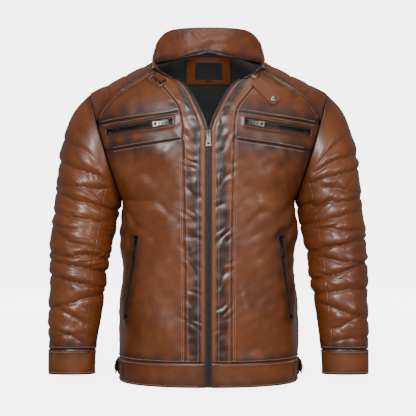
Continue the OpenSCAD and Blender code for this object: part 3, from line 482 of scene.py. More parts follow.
def body_panel(cut, name, S, T, z_of, angle_of, side="left", material=None, depth=0.0, thick=LEATHER,
               window=None, stains=(9, 9, 9, 9), strength=(0.5, 0.5, 0.5, 0.5), base_stain=0.0, lip=0.0,
               hole_stain=16.0, turned=0.9, node=None, relief=1.0, wrap=False):
    """A sewn panel of the body: the grid of its pattern on the cut, raised by the folds' relief, turned in
    at its edges and given its thickness. stains and strength say how far and how strongly the dark
    burnished band reaches from the low, high, first and last side."""
    s, t = np.meshgrid(S, T)
    z = z_of(s, t)
    th = angle_of(s, z)
    n = cut.normal(th, z)
    p = cut.surf(th, z)
    has = np.ones((len(T) - 1, len(S) - 1), bool)
    hole_box = None
    if window:
        s0, s1, t0, t1 = window
        inside_s = (S[:-1] >= s0 - 1e-6) & (S[1:] <= s1 + 1e-6)
        inside_t = (T[:-1] >= t0 - 1e-6) & (T[1:] <= t1 + 1e-6)
        has = ~(inside_t[:, None] & inside_s[None])
        i, j = np.where(inside_s)[0], np.where(inside_t)[0]
        hole_box = (i[0], i[-1] + 1, j[0], j[-1] + 1)
    sides, hole = edge_distances(p, hole_box)
    x_sign = 1 if side == "left" else -1
    seen = th if side == "left" else 360 - th
    height = relief*body_relief(cut, seen, z) - np.asarray(depth if not callable(depth) else depth(s, t))
    height = height + curl(sides.min(0), turned) + curl(hole, 0.7, 2.0)
    height = height + lip*np.exp(-((hole - 3.2)/2.4)**2)
    dark = np.zeros(z.shape)
    x = p[..., 0]*x_sign
    for k, (reach, much) in enumerate(zip(stains, strength)):
        dark = np.maximum(dark, much*stain(sides[(2, 3, 0, 1)[k]], reach, x, z, 29 + k))
    if window:
        dark = np.maximum(dark, 0.95*stain(hole, hole_stain, x, z, 41))
    if base_stain:
        from_zip = sides[0]
        reach = 23 + 6*waves(x, z, 110, 43)
        band = smooth(7.5, 10.5, from_zip)*(1 - smooth(reach, reach + 14, from_zip))
        dark = np.maximum(base_stain*band*(0.95 + 0.12*waves(x, z, 40, 45)), dark*0.8)
    if name.startswith("shoulder"):
        dark = np.maximum(dark, 0.75*np.exp(-(quilt_gap(np.abs(x), z)/1.5)**2))
    dark = np.clip(dark, 0, 1)
    worn = worn_at(sides.min(0))
    if wrap:
        p, n, height, dark, worn = [v[:, :-1] for v in (p, n, height, dark, worn)]
    outer = p + n*height[..., None]
    inner = outer - n*thick
    points = np.concatenate([outer.reshape(-1, 3), inner.reshape(-1, 3)])
    faces = shell_faces(has, wrap)
    if side == "right":
        points, faces = mirrored(points, faces)
    attributes = {"burnish_and_shade": np.tile(dark.ravel(), 2), "worn": np.tile(worn.ravel(), 2)}
    return make_piece(name, points, faces, material, attributes, COAT, node or name)


# ---------------------------------------------------------------- body leather
def front_panel(cut, side, leather):
    """Between the placket's seam and the side seam, from the hem band to the chest seam, with the window
    of the side pocket."""
    def angle_of(s, z):
        m = cut.side_slot(z)
        h = cut.slot_angle(m, z)
        last = np.where(z < cut.armpit_z, 89.85, cut.arm_edge(z))
        return along([cut.angle_at(placket_x(z) + SEAM/2, z), m - h, m + h, last], s)

    def x_at(s, z):
        return np.abs(cut.surf(angle_of(s, z), z)[..., 0])

    def high(s):
        z = band_low(x_at(s, np.full(s.shape, 460.0)))
        return band_low(x_at(s, z)) - SEAM/2

    def z_of(s, t):
        return along([SEAM_Z, cut.low[2] - SLOT_END, cut.top[2] + SLOT_END, cut.armpit_z, high(s)], t)
    S = runs([105, 12.4, 105], 3.0)
    T = runs([80, 162, 75, 105], 3.0)
    body_panel(cut, f"front_panel_{side}", S, T, z_of, angle_of, side, leather, window=(1, 2, 1, 2),
               stains=(15, 24, 9, 15), strength=(0.95, 0.95, 0.5, 0.7), lip=0.9, hole_stain=13)


def chest_band(cut, side, leather):
    """Between the two chest seams, with the window of the chest pocket."""
    def x_of(s, z):
        return along([placket_x(z) + SEAM/2, 70.0, 196.5, cut.arm_x(z) - 0.4], s)

    def z_of(s, t):
        mid_x = x_of(s, chest_z(x_of(s, np.full(s.shape, 490.0))))
        low = band_low(x_of(s, band_low(mid_x))) + SEAM/2
        high = band_high(x_of(s, band_high(mid_x))) - SEAM/2
        m = chest_z(mid_x)
        return along([low, m - SLOT_HALF, m + SLOT_HALF, high], t)
    S = runs([22, 130, 14], 2.4)
    T = runs([24, 12.4, 18], 2.0)
    body_panel(cut, f"chest_band_{side}", S, T, z_of, lambda s, z: cut.angle_at(x_of(s, z), z), side, leather,
               window=(1, 2, 1, 2), stains=(24, 14, 10, 12), strength=(1.0, 1.0, 0.75, 0.8), lip=1.5,
               hole_stain=5)


def chest_yoke(cut, side, leather):
    """Between the chest seam, the placket and the shoulder's cord."""
    inner_rows = lerp(525.0, 606.0, np.arange(9)/8)
    outer_rows = [band_high(212) + SEAM/2, *ARM_ROWS[1:], 582, 597, 607]

    def z_of(s, t):
        first = band_high(lerp(53, 212, s)) + SEAM/2
        rows = [first] + [lerp(a, b, s) for a, b in zip(inner_rows[1:], outer_rows[1:])]
        return along(rows, t)

    def angle_of(s, z):
        outer = np.minimum(piping_x(z) - 1.5, cut.arm_x(z) - 0.4)
        return cut.angle_at(lerp(placket_x(z) + SEAM/2, outer, s), z)
    body_panel(cut, f"chest_yoke_{side}", ticks(120, 2.6), ticks(80, 2.4)*8, z_of, angle_of, side, leather,
               stains=(27, 16, 10, 16), strength=(1.0, 0.85, 0.75, 1.0))


def shoulder_panel(cut, side, leather):
    """Over the shoulder from the front cord to the back seam, quilted, with the notch for the shoulder tip."""
    def z_of(s, t):
        top = neck_height(along([42, 90 - TIP_GAP, 90 + TIP_GAP, 119], s)) - 0.6
        return np.where(t <= 5, np.interp(t, range(6), ARM_ROWS), lerp(cut.tip_z, top, (t - 5)/3))

    def angle_of(s, z):
        edge = cut.arm_edge(z)
        return along([cut.angle_at(piping_x(z) + 1.5, z), edge, 180 - edge,
                      180 - cut.angle_at(back_piping_x(z) + SEAM/2, z)], s)
    S = np.concatenate([ticks(60, 2.6)[:-1], 1 + np.linspace(0, 1, 5)[:-1], 2 + ticks(60, 2.6)])
    T = np.concatenate([ticks(60, 2.6)[:-1]*5, 5 + ticks(150, 2.4)*3])
    body_panel(cut, f"shoulder_panel_{side}", S, T, z_of, angle_of, side, leather, window=(1, 2, 0, 5),
               stains=(3, 12, 14, 8), strength=(0.4, 0.6, 0.85, 0.5), hole_stain=7)


def placket(cut, side, leather):
    """The dark strip beside the front zip, which widens along the open neck to the collar."""
    inner_rows = [SEAM_Z, 260, 471] + list(lerp(ZIP_TOP, OPEN_TOP, np.arange(11)/10))
    outer_rows = [SEAM_Z, 260, 471, ZIP_TOP, 505] + list(lerp(525.0, 606.0, np.arange(9)/8))
    lengths = np.diff(outer_rows)
    T = np.concatenate([k + np.linspace(0, 1, int(length/2.2) + 2)[:-1] for k, length in enumerate(lengths)]
                       + [[13.0]])
    body_panel(cut, f"placket_{side}", ticks(37, 1.8), T,
               lambda s, t: lerp(np.interp(t, range(14), inner_rows), np.interp(t, range(14), outer_rows), s),
               lambda s, z: cut.angle_at(lerp(v_x(z), placket_x(z) - SEAM/2, s), z), side, leather,
               stains=(12, 6, 3, 5), strength=(0.8, 0.6, 0.3, 0.6), base_stain=0.95)


def back_leather(cut, leather):
    """The back panel between the side seams, and the yoke above it up to the neck."""
    def start(z):
        return np.where(z < cut.armpit_z, 90.15, 180 - cut.arm_edge(z))

    body_panel(cut, "back_panel", ticks(560, 3.6), runs([310, 115], 3.6),
               lambda s, t: along([SEAM_Z, cut.armpit_z, YOKE_Z - SEAM/2], t),
               lambda s, z: lerp(start(z), 360 - start(z), s), "left", leather,
               stains=(9, 12, 10, 10), strength=(0.5, 0.6, 0.5, 0.5))
    middle = [YOKE_Z + SEAM/2, 489, *ARM_ROWS, 599, 631, cut.neck_z + 26]
    sides = [YOKE_Z + SEAM/2, 489, *ARM_ROWS, 594, 621.5, 648.4]

    def yoke_angle(s, z):
        outer = np.where(z < ARM_ROWS[0], cut.arm_x(z) - 0.4,
                         np.minimum(cut.arm_x(z), back_piping_x(z)) - SEAM/2)
        return 180 - s*cut.angle_at(outer, z)
    S = ticks(420, 3.6)*2 - 1
    body_panel(cut, "back_yoke", S[::-1], ticks(195, 3.2)*10,
               lambda s, t: lerp(np.interp(t, range(11), middle), np.interp(t, range(11), sides), s*s),
               yoke_angle, "left", leather, stains=(10, 14, 12, 12), strength=(0.55, 0.7, 0.6, 0.6))


def hem_band(cut, leather):
    """Two front hem bands and one round the back, upright above the hem's outline."""
    start = float(cut.angle_at(EDGE, 10.0))
    for side in ("right", "left"):
        body_panel(cut, f"waistband_{side}", ticks(150, 3.0), ticks(BAND_H, 2.4), lambda s, t: t*BAND_H,
                   lambda s, z: lerp(start, 71.88, s), side, leather, stains=(11, 8, 10, 6),
                   strength=(0.9, 0.6, 0.8, 0.6), relief=1.0)
    body_panel(cut, "waistband_back", ticks(560, 3.6), ticks(BAND_H, 2.4), lambda s, t: t*BAND_H,
               lambda s, z: lerp(72.12, 287.88, s), "left", leather, stains=(11, 8, 6, 6),
               strength=(0.9, 0.6, 0.6, 0.6))


# ---------------------------------------------------------------- collar
COLLAR = [(180, 0, 92, 715), (160, 37, 91, 714), (139, 67, 82, 710), (121, 86, 68, 702), (104, 98, 50, 689),
          (88, 105, 30, 673), (70, 107, 4, 656), (52, 108, -24, 641), (34, 108, -54, 626),
          (15.5, 106, -78, 613)]


def collar_rows(cut, T, count):
    """Rows of the collar at the shares T of its height: each runs from one front end round the back to the
    other through smooth curves of its foot on the neckline and of its top edge."""
    keys = np.array(COLLAR, float)
    th, top = keys[:, 0], keys[:, 1:]
    foot = cut.surf(th, neck_height(th))
    foot = foot + [0, 0, 0.9] + 1.1*unit(foot*[1, 1, 0])

    def both(points):
        return np.concatenate([points[:0:-1]*[-1, 1, 1], points])
    foot, top = both(foot), both(top)
    place = np.arange(len(foot))
    at = np.linspace(0, len(foot) - 1, count)
    foot = np.stack([curve(np.column_stack([place, c]))(at) for c in foot.T], -1)
    top = np.stack([curve(np.column_stack([place, c]))(at) for c in top.T], -1)
    return foot[None] + (top - foot)[None]*T[:, None, None], at


def collar(cut, leather):
    """The stand collar's outer leather and inner leather, back to back: soft cross waves, a slight belly
    across the height and both edges turned towards each other."""
    T = ticks(54, 2.2)
    rows, at = collar_rows(cut, T, 190)
    du = np.gradient(rows, axis=1)
    dv = np.gradient(rows, axis=0)
    n = unit(np.cross(dv, du))
    mid = n[len(T)//2]
    n = unit(lerp(n, mid[None], 0.7))
    sides, _ = edge_distances(rows)
    share = T[:, None]
    belly = 2.2*np.sin(np.pi*share)
    run_u = np.cumsum(np.linalg.norm(du, axis=-1), 1)
    ripple = 0.8*waves(run_u, share*54, 46, 51)*smooth(0, 14, sides.min(0))
    small = 0.25*waves(run_u, share*54, 14, 52)
    base = belly + ripple + small
    dark = np.maximum(0.75*stain(sides[2], 9, run_u, share*54, 53), 0.5*stain(sides[3], 5, run_u, share*54, 54))
    dark = np.maximum(dark, 0.55*stain(np.minimum(sides[0], sides[1]), 8, run_u, share*54, 55))
    worn = np.exp(-(sides.min(0)/1.8)**2)
    tuck = curl(sides.min(0), 0.5, 2.5)
    from_front = np.interp(at, np.arange(2*len(COLLAR) - 1), [k[0] for k in COLLAR[:0:-1] + COLLAR])
    along_neck = 0.12 + 0.88*smooth(36, 62, from_front)
    k = np.array([1.0, 0.75, 0.5, 0.25])[:, None]*along_neck
    below = -2.6*np.sqrt(k)[..., None]*unit(rows[0]*[1, 1, 0]) - 7.0*k[..., None]*np.array([0, 0, 1.0])
    for name, out, sign in (("collar_outer", 1.5, 1), ("collar_facing", -0.2, -1)):
        face = base + (out + tuck if sign > 0 else out)
        back = base + (out - 1.3 if sign > 0 else out - 1.3 - tuck)
        face, back = rows + n*face[..., None], rows + n*back[..., None]
        # both run on below the seam: the outer leather into the shoulders, the facing inside the neck
        more = below if sign < 0 else np.array([[[0, 0, -2.6]], [[0, 0, -1.3]]])*along_neck[None, :, None]
        face, back = [np.concatenate([v[:1] + more, v]) for v in (face, back)]
        shade = np.concatenate([np.repeat(dark[:1], len(more), 0), dark])
        points = np.concatenate([face.reshape(-1, 3), back.reshape(-1, 3)])
        faces = shell_faces(np.ones((len(shade) - 1, rows.shape[1] - 1), bool))
        pale = np.pad(worn, ((len(shade) - len(dark), 0), (0, 0)))
        make_piece(name, points, faces, leather,
                   {"burnish_and_shade": np.tile(shade.ravel(), 2), "worn": np.tile(pale.ravel(), 2)}, COAT, name)


# ---------------------------------------------------------------- facings, lining, label
def facings(cut, leather, lining):
    """The leather facings behind the zip, and the hanging cloth lining."""
    inner_rows = [2.0, *lerp(ZIP_TOP, OPEN_TOP, np.arange(11)/10)]
    outer_rows = [2.0, *lerp(ZIP_TOP, 600.0, np.arange(11)/10)]
    T = np.concatenate([np.linspace(0, 1, 130)[:-1], 1 + np.linspace(0, 10, 45)])
    for side in ("right", "left"):
        def z_of(s, t):
            return lerp(np.interp(t, range(12), inner_rows), np.interp(t, range(12), outer_rows), s)
        body_panel(cut, f"front_facing_{side}", ticks(36, 2.4), T, z_of,
                   lambda s, z: cut.angle_at(lerp(v_x(z) + 2.5, facing_x(z), s), z), side, leather,
                   depth=FACING_IN, thick=FACING_T, stains=(3, 3, 5, 5), strength=(0.3, 0.3, 0.5, 0.3),
                   turned=0.4, node="front_facings")

    def edge_l(z):
        return cut.angle_at(facing_x(z) - 5, z)

    def angle_of(s, z):
        a = cut.arm_edge(z)
        return along([edge_l(z), a, 180 - a, 180 + 0*a, 180 + a, 360 - a, 360 - edge_l(z)], s)

    def z_of(s, t):
        ends = [32, 90 - TIP_GAP, 90 + TIP_GAP, 180, 90 + TIP_GAP, 90 - TIP_GAP, 32]
        round_neck = along(ends, s)
        edge = neck_height(round_neck) - 8 + 5.5*smooth(95, 130, round_neck)
        return along([6.0, cut.armpit_z, cut.tip_z, edge], t)

    def depth(s, t):
        hung = np.interp(t, [0, 0.14, 0.42, 1.9, 2.5, 3], [3.4, 7, HANG_IN, 9, 7, EDGE_IN])
        near_hole = np.min([np.abs(s - k) for k in (1, 2, 4, 5)], 0) + np.maximum(0, np.abs(t - 1.5) - 0.5)
        at_edge = np.minimum(smooth(0, 0.3, np.minimum(s, 6 - s)), smooth(0, 0.22, near_hole))
        return lerp(np.minimum(hung, EDGE_IN), hung, at_edge)
    S = np.concatenate([np.linspace(0, 1, 50)[:-1], 1 + np.linspace(0, 1, 5)[:-1],
                        2 + np.linspace(0, 2, 110)[:-1], 4 + np.linspace(0, 1, 5)[:-1],
                        5 + np.linspace(0, 1, 50)])
    T = np.concatenate([np.linspace(0, 1, 90)[:-1], 1 + np.linspace(0, 1, 60)[:-1], 2 + np.linspace(0, 1, 28)])
    s, t = np.meshgrid(S, T)
    z = z_of(s, t)
    th = angle_of(s, z)
    n = cut.normal(th, z)
    p = cut.surf(th, z)
    ripple = 0.9*waves(p[..., 0] + 500*(p[..., 1] < 0), z, 40, 61, stretch=2.5)*smooth(5, 9, depth(s, t))
    outer = p + n*(body_relief(cut, th, z)*0.8 - depth(s, t) + ripple)[..., None]
    in_s = ((S[:-1] >= 1) & (S[1:] <= 2)) | ((S[:-1] >= 4) & (S[1:] <= 5))
    in_t = (T[:-1] >= 1) & (T[1:] <= 2)
    points = np.concatenate([outer.reshape(-1, 3), (outer - 0.8*n).reshape(-1, 3)])
    make_piece("body_lining", points, shell_faces(~(in_t[:, None] & in_s[None])), lining, None, COAT,
               "body_lining")


def neck_piece(cut, name, half, low, high, depth, thick, material, step=1.6, dome=0.0):
    """A flat piece inside the back of the neck: a strip of the back's surface pushed in by its depth, with
    its edges turned and its middle slightly raised."""
    S = ticks(2*half, step, 0.5, 2.0)*2 - 1
    T = ticks(high - low, step, 0.5, 2.0)
    s, t = np.meshgrid(S[::-1], T)
    z = lerp(low, high, t)
    th = 180 - np.sign(s)*cut.angle_at(np.abs(s)*half, z)
    n = cut.normal(th, z)
    p = cut.surf(th, z)
    sides, _ = edge_distances(p)
    lift = dome*np.sin(np.pi*t)*np.cos(np.pi*s/2) + curl(sides.min(0), 0.35, 1.4)
    outer = p - n*depth
    inner = outer - n*(thick + lift)[..., None]
    points = np.concatenate([outer.reshape(-1, 3), inner.reshape(-1, 3)])
    dark = 0.45*stain(sides.min(0), 5, p[..., 0], z, 63)
    make_piece(name, points, shell_faces(np.ones((len(T) - 1, len(S) - 1), bool)), material,
               {"burnish_and_shade": np.tile(dark.ravel(), 2), "worn": np.tile(0*dark.ravel(), 2)}, COAT, name)


# ---------------------------------------------------------------- sleeves
# Deep creases of each sleeve: height at 245 mm from the middle, rise for each mm outwards, depth, width,
# first and last distance from the middle, and how far the line sags on the sleeve's back
CREASES = {
    "right": [
        (452, 0.5, 3.0, 7, 225, 330, 14), (413, 0.36, 6.5, 6, 150, 330, 18),
        (381, 0.05, 4.5, 5, 190, 330, -12), (353, 0.28, 6.0, 5, 150, 330, 16),
        (321, 0.15, 5.0, 5, 195, 330, -16), (299, 0.08, 4.0, 4, 252, 330, 12),
        (270, 0.37, 4.8, 6, 190, 305, 18), (248, 0.13, 6.5, 5, 150, 330, -12),
        (226, 0.22, 6.0, 5, 150, 330, 18), (194, 0.22, 6.0, 5, 190, 330, -14),
        (164, -0.23, 6.0, 6, 150, 330, 16), (124, 0.55, 4.5, 6, 228, 300, -10),
        (96, -0.15, 3.2, 5, 240, 320, 8), (80, 0.45, 4.2, 5, 240, 330, 8),
    ],
    "left": [
        (462, 1.0, 4.5, 7, 190, 262, -14), (428, 0.38, 6.0, 6, 150, 330, 16),
        (403, 0.30, 5.5, 5, 180, 330, -12), (378, -0.18, 4.5, 6, 215, 330, 16),
        (352, 0.12, 6.0, 5, 150, 330, -16), (322, 0.26, 5.0, 5, 150, 300, 14),
        (298, -0.06, 5.5, 5, 205, 330, -12), (268, 0.20, 6.5, 5, 150, 330, 16),
        (240, -0.14, 5.5, 5, 215, 330, 12), (214, 0.30, 6.2, 5, 150, 330, -14),
        (180, 0.12, 5.5, 6, 150, 330, 16), (146, -0.34, 5.0, 6, 215, 330, -12),
        (112, 0.40, 4.5, 6, 235, 305, 10), (84, 0.10, 3.6, 5, 225, 330, 8),
    ],
}


def sleeve_relief(t, a, p, side):
    """Height of a sleeve's folds in mm over its rings, and the painted shade that darkens their deep creases.
    Each deep crease is a groove that falls off exponentially to both sides of its line, under a round bulge
    that hangs over it, and its line is painted dark as shade. Between them lie slanting folds, soft dents
    and small wrinkles, all faded out at the armhole and cuff."""
    k = 1 if side == "left" else -1
    s = np.interp(t, range(10), [0, 38, 78, 135, 228, 318, 382, 462, 540, 590])
    r = np.radians(a)
    x, z = p[..., 0], p[..., 2]
    behind = np.sin(r) < 0
    wander = 5.0*waves(x, s, 75, 71 + k) + 1.6*waves(x, s, 28, 72 + k)
    height = 0*s
    painted_crease_shade = 0*s
    bow = np.where(behind, 1 - np.cos(r)**2, 0)
    for n, (z0, rise, deep, wide, first, last, sag) in enumerate(CREASES[side]):
        off = z - z0 - rise*(x - 245) + wander*(0.6 + 0.3*math.sin(n*2.1)) + sag*bow
        there = smooth(first - 12, first + 14, x)*(1 - smooth(last - 14, last + 12, x))
        size = np.sqrt(off**2 + 0.8)
        height = height - 0.68*deep*there*np.exp(-size/(0.66*wide))
        swell = np.where(off > 0, 0.36, 0.14)*np.exp(-((np.abs(off) - 2.0*wide)/(1.9*wide))**2)
        height = height + deep*there*swell
        # painted shade: each deep crease's line is darkened in colour where shade would fall
        painted_crease_shade = np.maximum(painted_crease_shade, there*np.exp(-size/2.6))
    slant = 0.9*np.sin(r + 0.7*k) + 0.5*np.sin(2*r + 1.1)
    warp = waves(s, 60*r, 90, 73 + k)
    folds = crease(s/10.5 + 2.0*slant + 1.9*warp, 0.18) - 0.6
    patchy = smooth(-0.5, 0.6, waves(s, 60*r, 110, 77 + k))
    height = height + 1.15*folds*patchy*smooth(80, 170, s)
    thin = crease(s/6.1 - 1.5*slant + 2.4*waves(s, 60*r, 70, 78 + k), 0.12) - 0.62
    height = height + 0.55*thin*smooth(-0.2, 0.7, waves(s, 60*r, 80, 80 + k))*smooth(100, 180, s)
    height = height + 0.14*waves(s*1.3, 60*r*0.55, 16, 75 + k)*smooth(60, 160, s)
    height = height + 1.3*waves(s, 60*r, 120, 79 + k)*smooth(20, 90, s)
    fade = smooth(10, 70, s)*(1 - 0.92*smooth(505, 541, s))
    return height*fade, painted_crease_shade*fade


def across_shoulder(side):
    """Two bodies and the two points of the sleeve's bend, from the armhole to 120 mm down the arm, square to
    the armhole; the pieces given them are only baked in place and not bent.
    """
    k = 1 if side == "left" else -1
    return (COAT, f"sleeve_{side}", (0.204*k, 0, 0.461), ((0.204 + 0.12*0.957)*k, 0, 0.461 - 0.12*0.289))


def sleeves(cut, leather, lining):
    """Each sleeve's upper and under leather, its lining and its cuff, all from the same rings."""
    rows = np.concatenate([k + np.linspace(0, 1, int(length/2.1) + 1)[:-1] for k, length in
                           enumerate([38, 40, 57, 93, 90, 64, 80, 78])])
    T = np.concatenate([[7.992, 7.978, 7.963], rows[(rows < 7.95)][::-1][:-1], [0.03, 0.0]])
    for side in ("left", "right"):
        body = f"sleeve_{side}"
        for part, first, last in (("sleeve_top", SLEEVE_SEAM - 0.3, -SLEEVE_SEAM + 0.3),
                                  ("sleeve_under", 360 - SLEEVE_SEAM - 0.3, SLEEVE_SEAM + 0.3)):
            S = ticks(300 if part == "sleeve_top" else 150, 3.0)
            s, t = np.meshgrid(S, T)
            a = lerp(first, last, s)
            p = cut.sleeve_point(t, a, 0)
            n = unit(np.cross(cut.sleeve_point(t, a - 1, 0) - cut.sleeve_point(t, a + 1, 0),
                              cut.sleeve_point(t - 0.02, a, 0) - cut.sleeve_point(t + 0.02, a, 0)))
            sides, _ = edge_distances(p)
            height, painted_crease_shade = sleeve_relief(t, a, p, side)
            height = height + curl(np.minimum(sides[2], sides[3]), 1.1, 3.4) + curl(sides.min(0), 0.35, 2.0)
            outer = p + n*height[..., None]
            points = np.concatenate([outer.reshape(-1, 3), (outer - n*LEATHER).reshape(-1, 3)])
            faces = shell_faces(np.ones((len(T) - 1, len(S) - 1), bool))
            if side == "right":
                points, faces = mirrored(points, faces)
            around = np.radians(a)*60
            # the seams' burnish, plus painted shade along the deep creases' lines
            dark = np.maximum.reduce([0.95*stain(sides[2], 17, around, t*60, 81),
                                      0.7*stain(sides[3], 12, around, t*60, 82),
                                      0.15*stain(np.minimum(sides[0], sides[1]), 4, around, t*60, 83),
                                      0.4*painted_crease_shade])
            worn = worn_at(sides.min(0))
            make_piece(f"{part}_{side}", points, faces, leather,
                       {"burnish_and_shade": np.tile(dark.ravel(), 2), "worn": np.tile(worn.ravel(), 2)},
                       across_shoulder(side), f"{part}_{side}")
        tube_piece(cut, f"cuff_{side}", side, [9.0, 8.008], 0, LEATHER + 0.5, leather, body, True)
        tube_piece(cut, f"sleeve_lining_{side}", side, [8.1, 0.05], LEATHER + 2.2, 0.8, lining,
                   across_shoulder(side), False)


def tube_piece(cut, name, side, ends, depth, thick, material, body, is_cuff):
    """A closed tube on the sleeve's rings: the cuff, slightly rippled with both edges turned, or the
    sleeve's lining."""
    T = lerp(ends[0], ends[1], ticks(52, 1.8) if is_cuff else np.linspace(0, 1, 230))
    count = 150 if is_cuff else 130
    t, k = np.meshgrid(T, np.arange(count), indexing="ij")
    a = 360.0 - 360*k/count
    p = cut.sleeve_point(t, a, depth)
    n = unit(np.cross(cut.sleeve_point(t, a - 1, 0) - cut.sleeve_point(t, a + 1, 0),
                      cut.sleeve_point(t - 0.01, a, 0) - cut.sleeve_point(t + 0.01, a, 0)))
    attributes = None
    height = 0*t
    if not is_cuff:
        # the lining follows the leather's valleys, so that it never shows through them
        folds = sleeve_relief(np.minimum(t, 8), a, p, side)[0]
        height = np.minimum(0, 1.1*folds) - 0.8*smooth(0, 0.3, np.minimum(t - ends[1], 8 - t))
    if is_cuff:
        up = np.abs(t - ends[0])*cut.cuff_h
        edge = np.minimum(up, cut.cuff_h - up)
        r = np.radians(a)
        height = (0.5*np.sin(3*r + 1) + 0.35*np.sin(5*r + 2))*smooth(0, 20, up) + curl(edge)
        dark = np.maximum(0.8*stain(up, 10, r*40, up, 85), 0.8*stain(cut.cuff_h - up, 9, r*40, up, 86))
        attributes = {"burnish_and_shade": np.tile(dark.ravel(), 2), "worn": np.tile(worn_at(edge).ravel(), 2)}
    outer = p + n*height[..., None]
    points = np.concatenate([outer.reshape(-1, 3), (outer - n*thick).reshape(-1, 3)])
    faces = shell_faces(np.ones((len(T) - 1, count), bool), True)
    if side == "right":
        points, faces = mirrored(points, faces)
    make_piece(name, points, faces, material, attributes, body, name)


# ---------------------------------------------------------------- small parts along a line
def resample(points, pitch):
    """Points a pitch apart along a line, with their tangents."""
    length = np.concatenate([[0], np.cumsum(np.linalg.norm(np.diff(points, axis=0), axis=1))])
    count = max(1, int(length[-1]/pitch))
    at = (np.arange(count) + 0.5)*length[-1]/count
    place = np.stack([np.interp(at, length, c) for c in points.T], -1)
    ahead = np.stack([np.interp(np.minimum(at + 1, length[-1]), length, c) for c in points.T], -1)
    behind = np.stack([np.interp(np.maximum(at - 1, 0), length, c) for c in points.T], -1)
    return place, unit(ahead - behind), at/length[-1]


def copies(shape, faces, place, x, y, z):
    """The same small shape at every place, turned to the three directions given there."""
    points = (place[:, None] + shape[None, :, :1]*x[:, None] + shape[None, :, 1:2]*y[:, None]
              + shape[None, :, 2:]*z[:, None])
    shift = (np.arange(len(place))*len(shape))[:, None, None]
    return points.reshape(-1, 3), [(f[None] + shift).reshape(-1, f.shape[1]) for f in faces]


def repeat_shape(shape, faces, place, along_dir, out_dir):
    """The same small shape at every place: its x across, its y outwards and its z along the line."""
    z = unit(along_dir)
    y = unit(out_dir - (out_dir*z).sum(-1, keepdims=True)*z)
    return copies(shape, faces, place, np.cross(y, z), y, z)


def loft(rings):
    """Closed shape through rings of points, with a flat end on each: quads between them and fans."""
    m = rings.shape[1]
    rows = len(rings)
    i = np.arange(m)
    j = (i + 1) % m
    quads = np.concatenate([np.stack([r*m + i, r*m + j, (r + 1)*m + j, (r + 1)*m + i], -1)
                            for r in range(rows - 1)])
    centres = np.stack([rings[0].mean(0), rings[-1].mean(0)])
    first, last = rows*m, rows*m + 1
    caps = np.concatenate([np.stack([j, i, np.full(m, first)], -1),
                           np.stack([(rows - 1)*m + i, (rows - 1)*m + j, np.full(m, last)], -1)])
    return np.concatenate([rings.reshape(-1, 3), centres]), [quads, caps]


def stitch_shape(length, thick):
    """One stitch: a six-sided thread that dips into the leather at both ends."""
    z = np.array([-0.5, -0.36, 0, 0.36, 0.5])*length
    y = np.array([-0.5, 0.22, 0.42, 0.22, -0.5])*thick
    r = np.array([0.3, 0.46, 0.5, 0.46, 0.3])*thick
    turn = np.arange(6)*np.pi/3
    rings = np.stack([np.stack([r[k]*np.cos(turn), y[k] + r[k]*np.sin(turn), np.full(6, z[k])], -1)
                      for k in range(5)])
    return loft(rings)


def join(parts):
    """Several sets of points and faces as one."""
    points, quads, triangles, start = [], [], [], 0
    for p, faces in parts:
        points.append(p)
        for f in faces:
            (quads if f.shape[1] == 4 else triangles).append(f + start)
        start += len(p)
    return np.concatenate(points), [np.concatenate(g) for g in (quads, triangles) if g]


def body_line(cut, th, z, side="left"):
    """A line on the left of the leather at given angles and heights, raised as that side's folds are."""
    n = cut.normal(th, z)
    seen = th if side == "left" else 360 - th
    return cut.surf(th, z) + n*body_relief(cut, seen, z)[..., None], n


def stitched(points, normals, sizes):
    """Stitches along a line on the leather."""
    pitch, length, thick = sizes
    place, direction, share = resample(points, pitch)
    out = np.stack([np.interp(share, np.linspace(0, 1, len(normals)), c) for c in normals.T], -1)
    return repeat_shape(*stitch_shape(length, thick), place, direction, out)


def stitch_rows(cut, side):
    """The lines of one side's stitching on the body, as points on the left with their normals."""
    def on_body(th, z):
        return body_line(cut, th, z, side)

    def upright(x_of, low, high):
        z = np.linspace(low, high, int(abs(high - low)/2) + 2)
        return on_body(cut.angle_at(x_of(z), z), z)

    def across(z_of, low, high):
        x = np.linspace(low, high, 90)
        z = z_of(x)
        return on_body(cut.angle_at(x, z), z)
    rows = [upright(lambda z, out=out: placket_x(z) + out, SEAM_Z + 3, high)
            for out, high in ((4.2, 590), (-4.2, 590), (7.4, 470))]
    rows += [upright(lambda z: v_x(z) + 4.6, SEAM_Z + 3, 580),
             upright(lambda z: v_x(z) + 13.5, SEAM_Z + 3, 466)]
    rows += [across(lambda x, out=out: band_low(x) + out, 54, 183) for out in (-4.0, 4.0)]
    rows += [across(lambda x, out=out: band_high(x) + out, 60, 205) for out in (-4.0, 4.0)]
    for out in (SLOT_HALF + 3.6, -SLOT_HALF - 3.6):
        rows.append(across(lambda x, out=out: chest_z(x) + out, 68, 198))
        z = np.linspace(cut.low[2] - 6, cut.top[2] + 6, 90)
        middle = cut.side_slot(z)
        rows.append(on_body(middle + out/SLOT_HALF*cut.slot_angle(middle, z), z))
    for height in (3.6, BAND_H - 3.6):
        for first, last in ((4, 71), (73, 179.9)):
            th = np.linspace(first, last, 150)
            rows.append(on_body(th, np.full(th.shape, height)))
    th = np.linspace(4, 179.9, 300)
    rows.append(on_body(th, np.full(th.shape, SEAM_Z + 3.8)))
    rows.append(upright(lambda z: piping_x(z) - 5.5, 514, 604))
    x = np.linspace(0.5, 205, 100)
    z = np.full(x.shape, YOKE_Z + 4.2)
    rows.append(on_body(180 - cut.angle_at(x, z), z))
    return rows


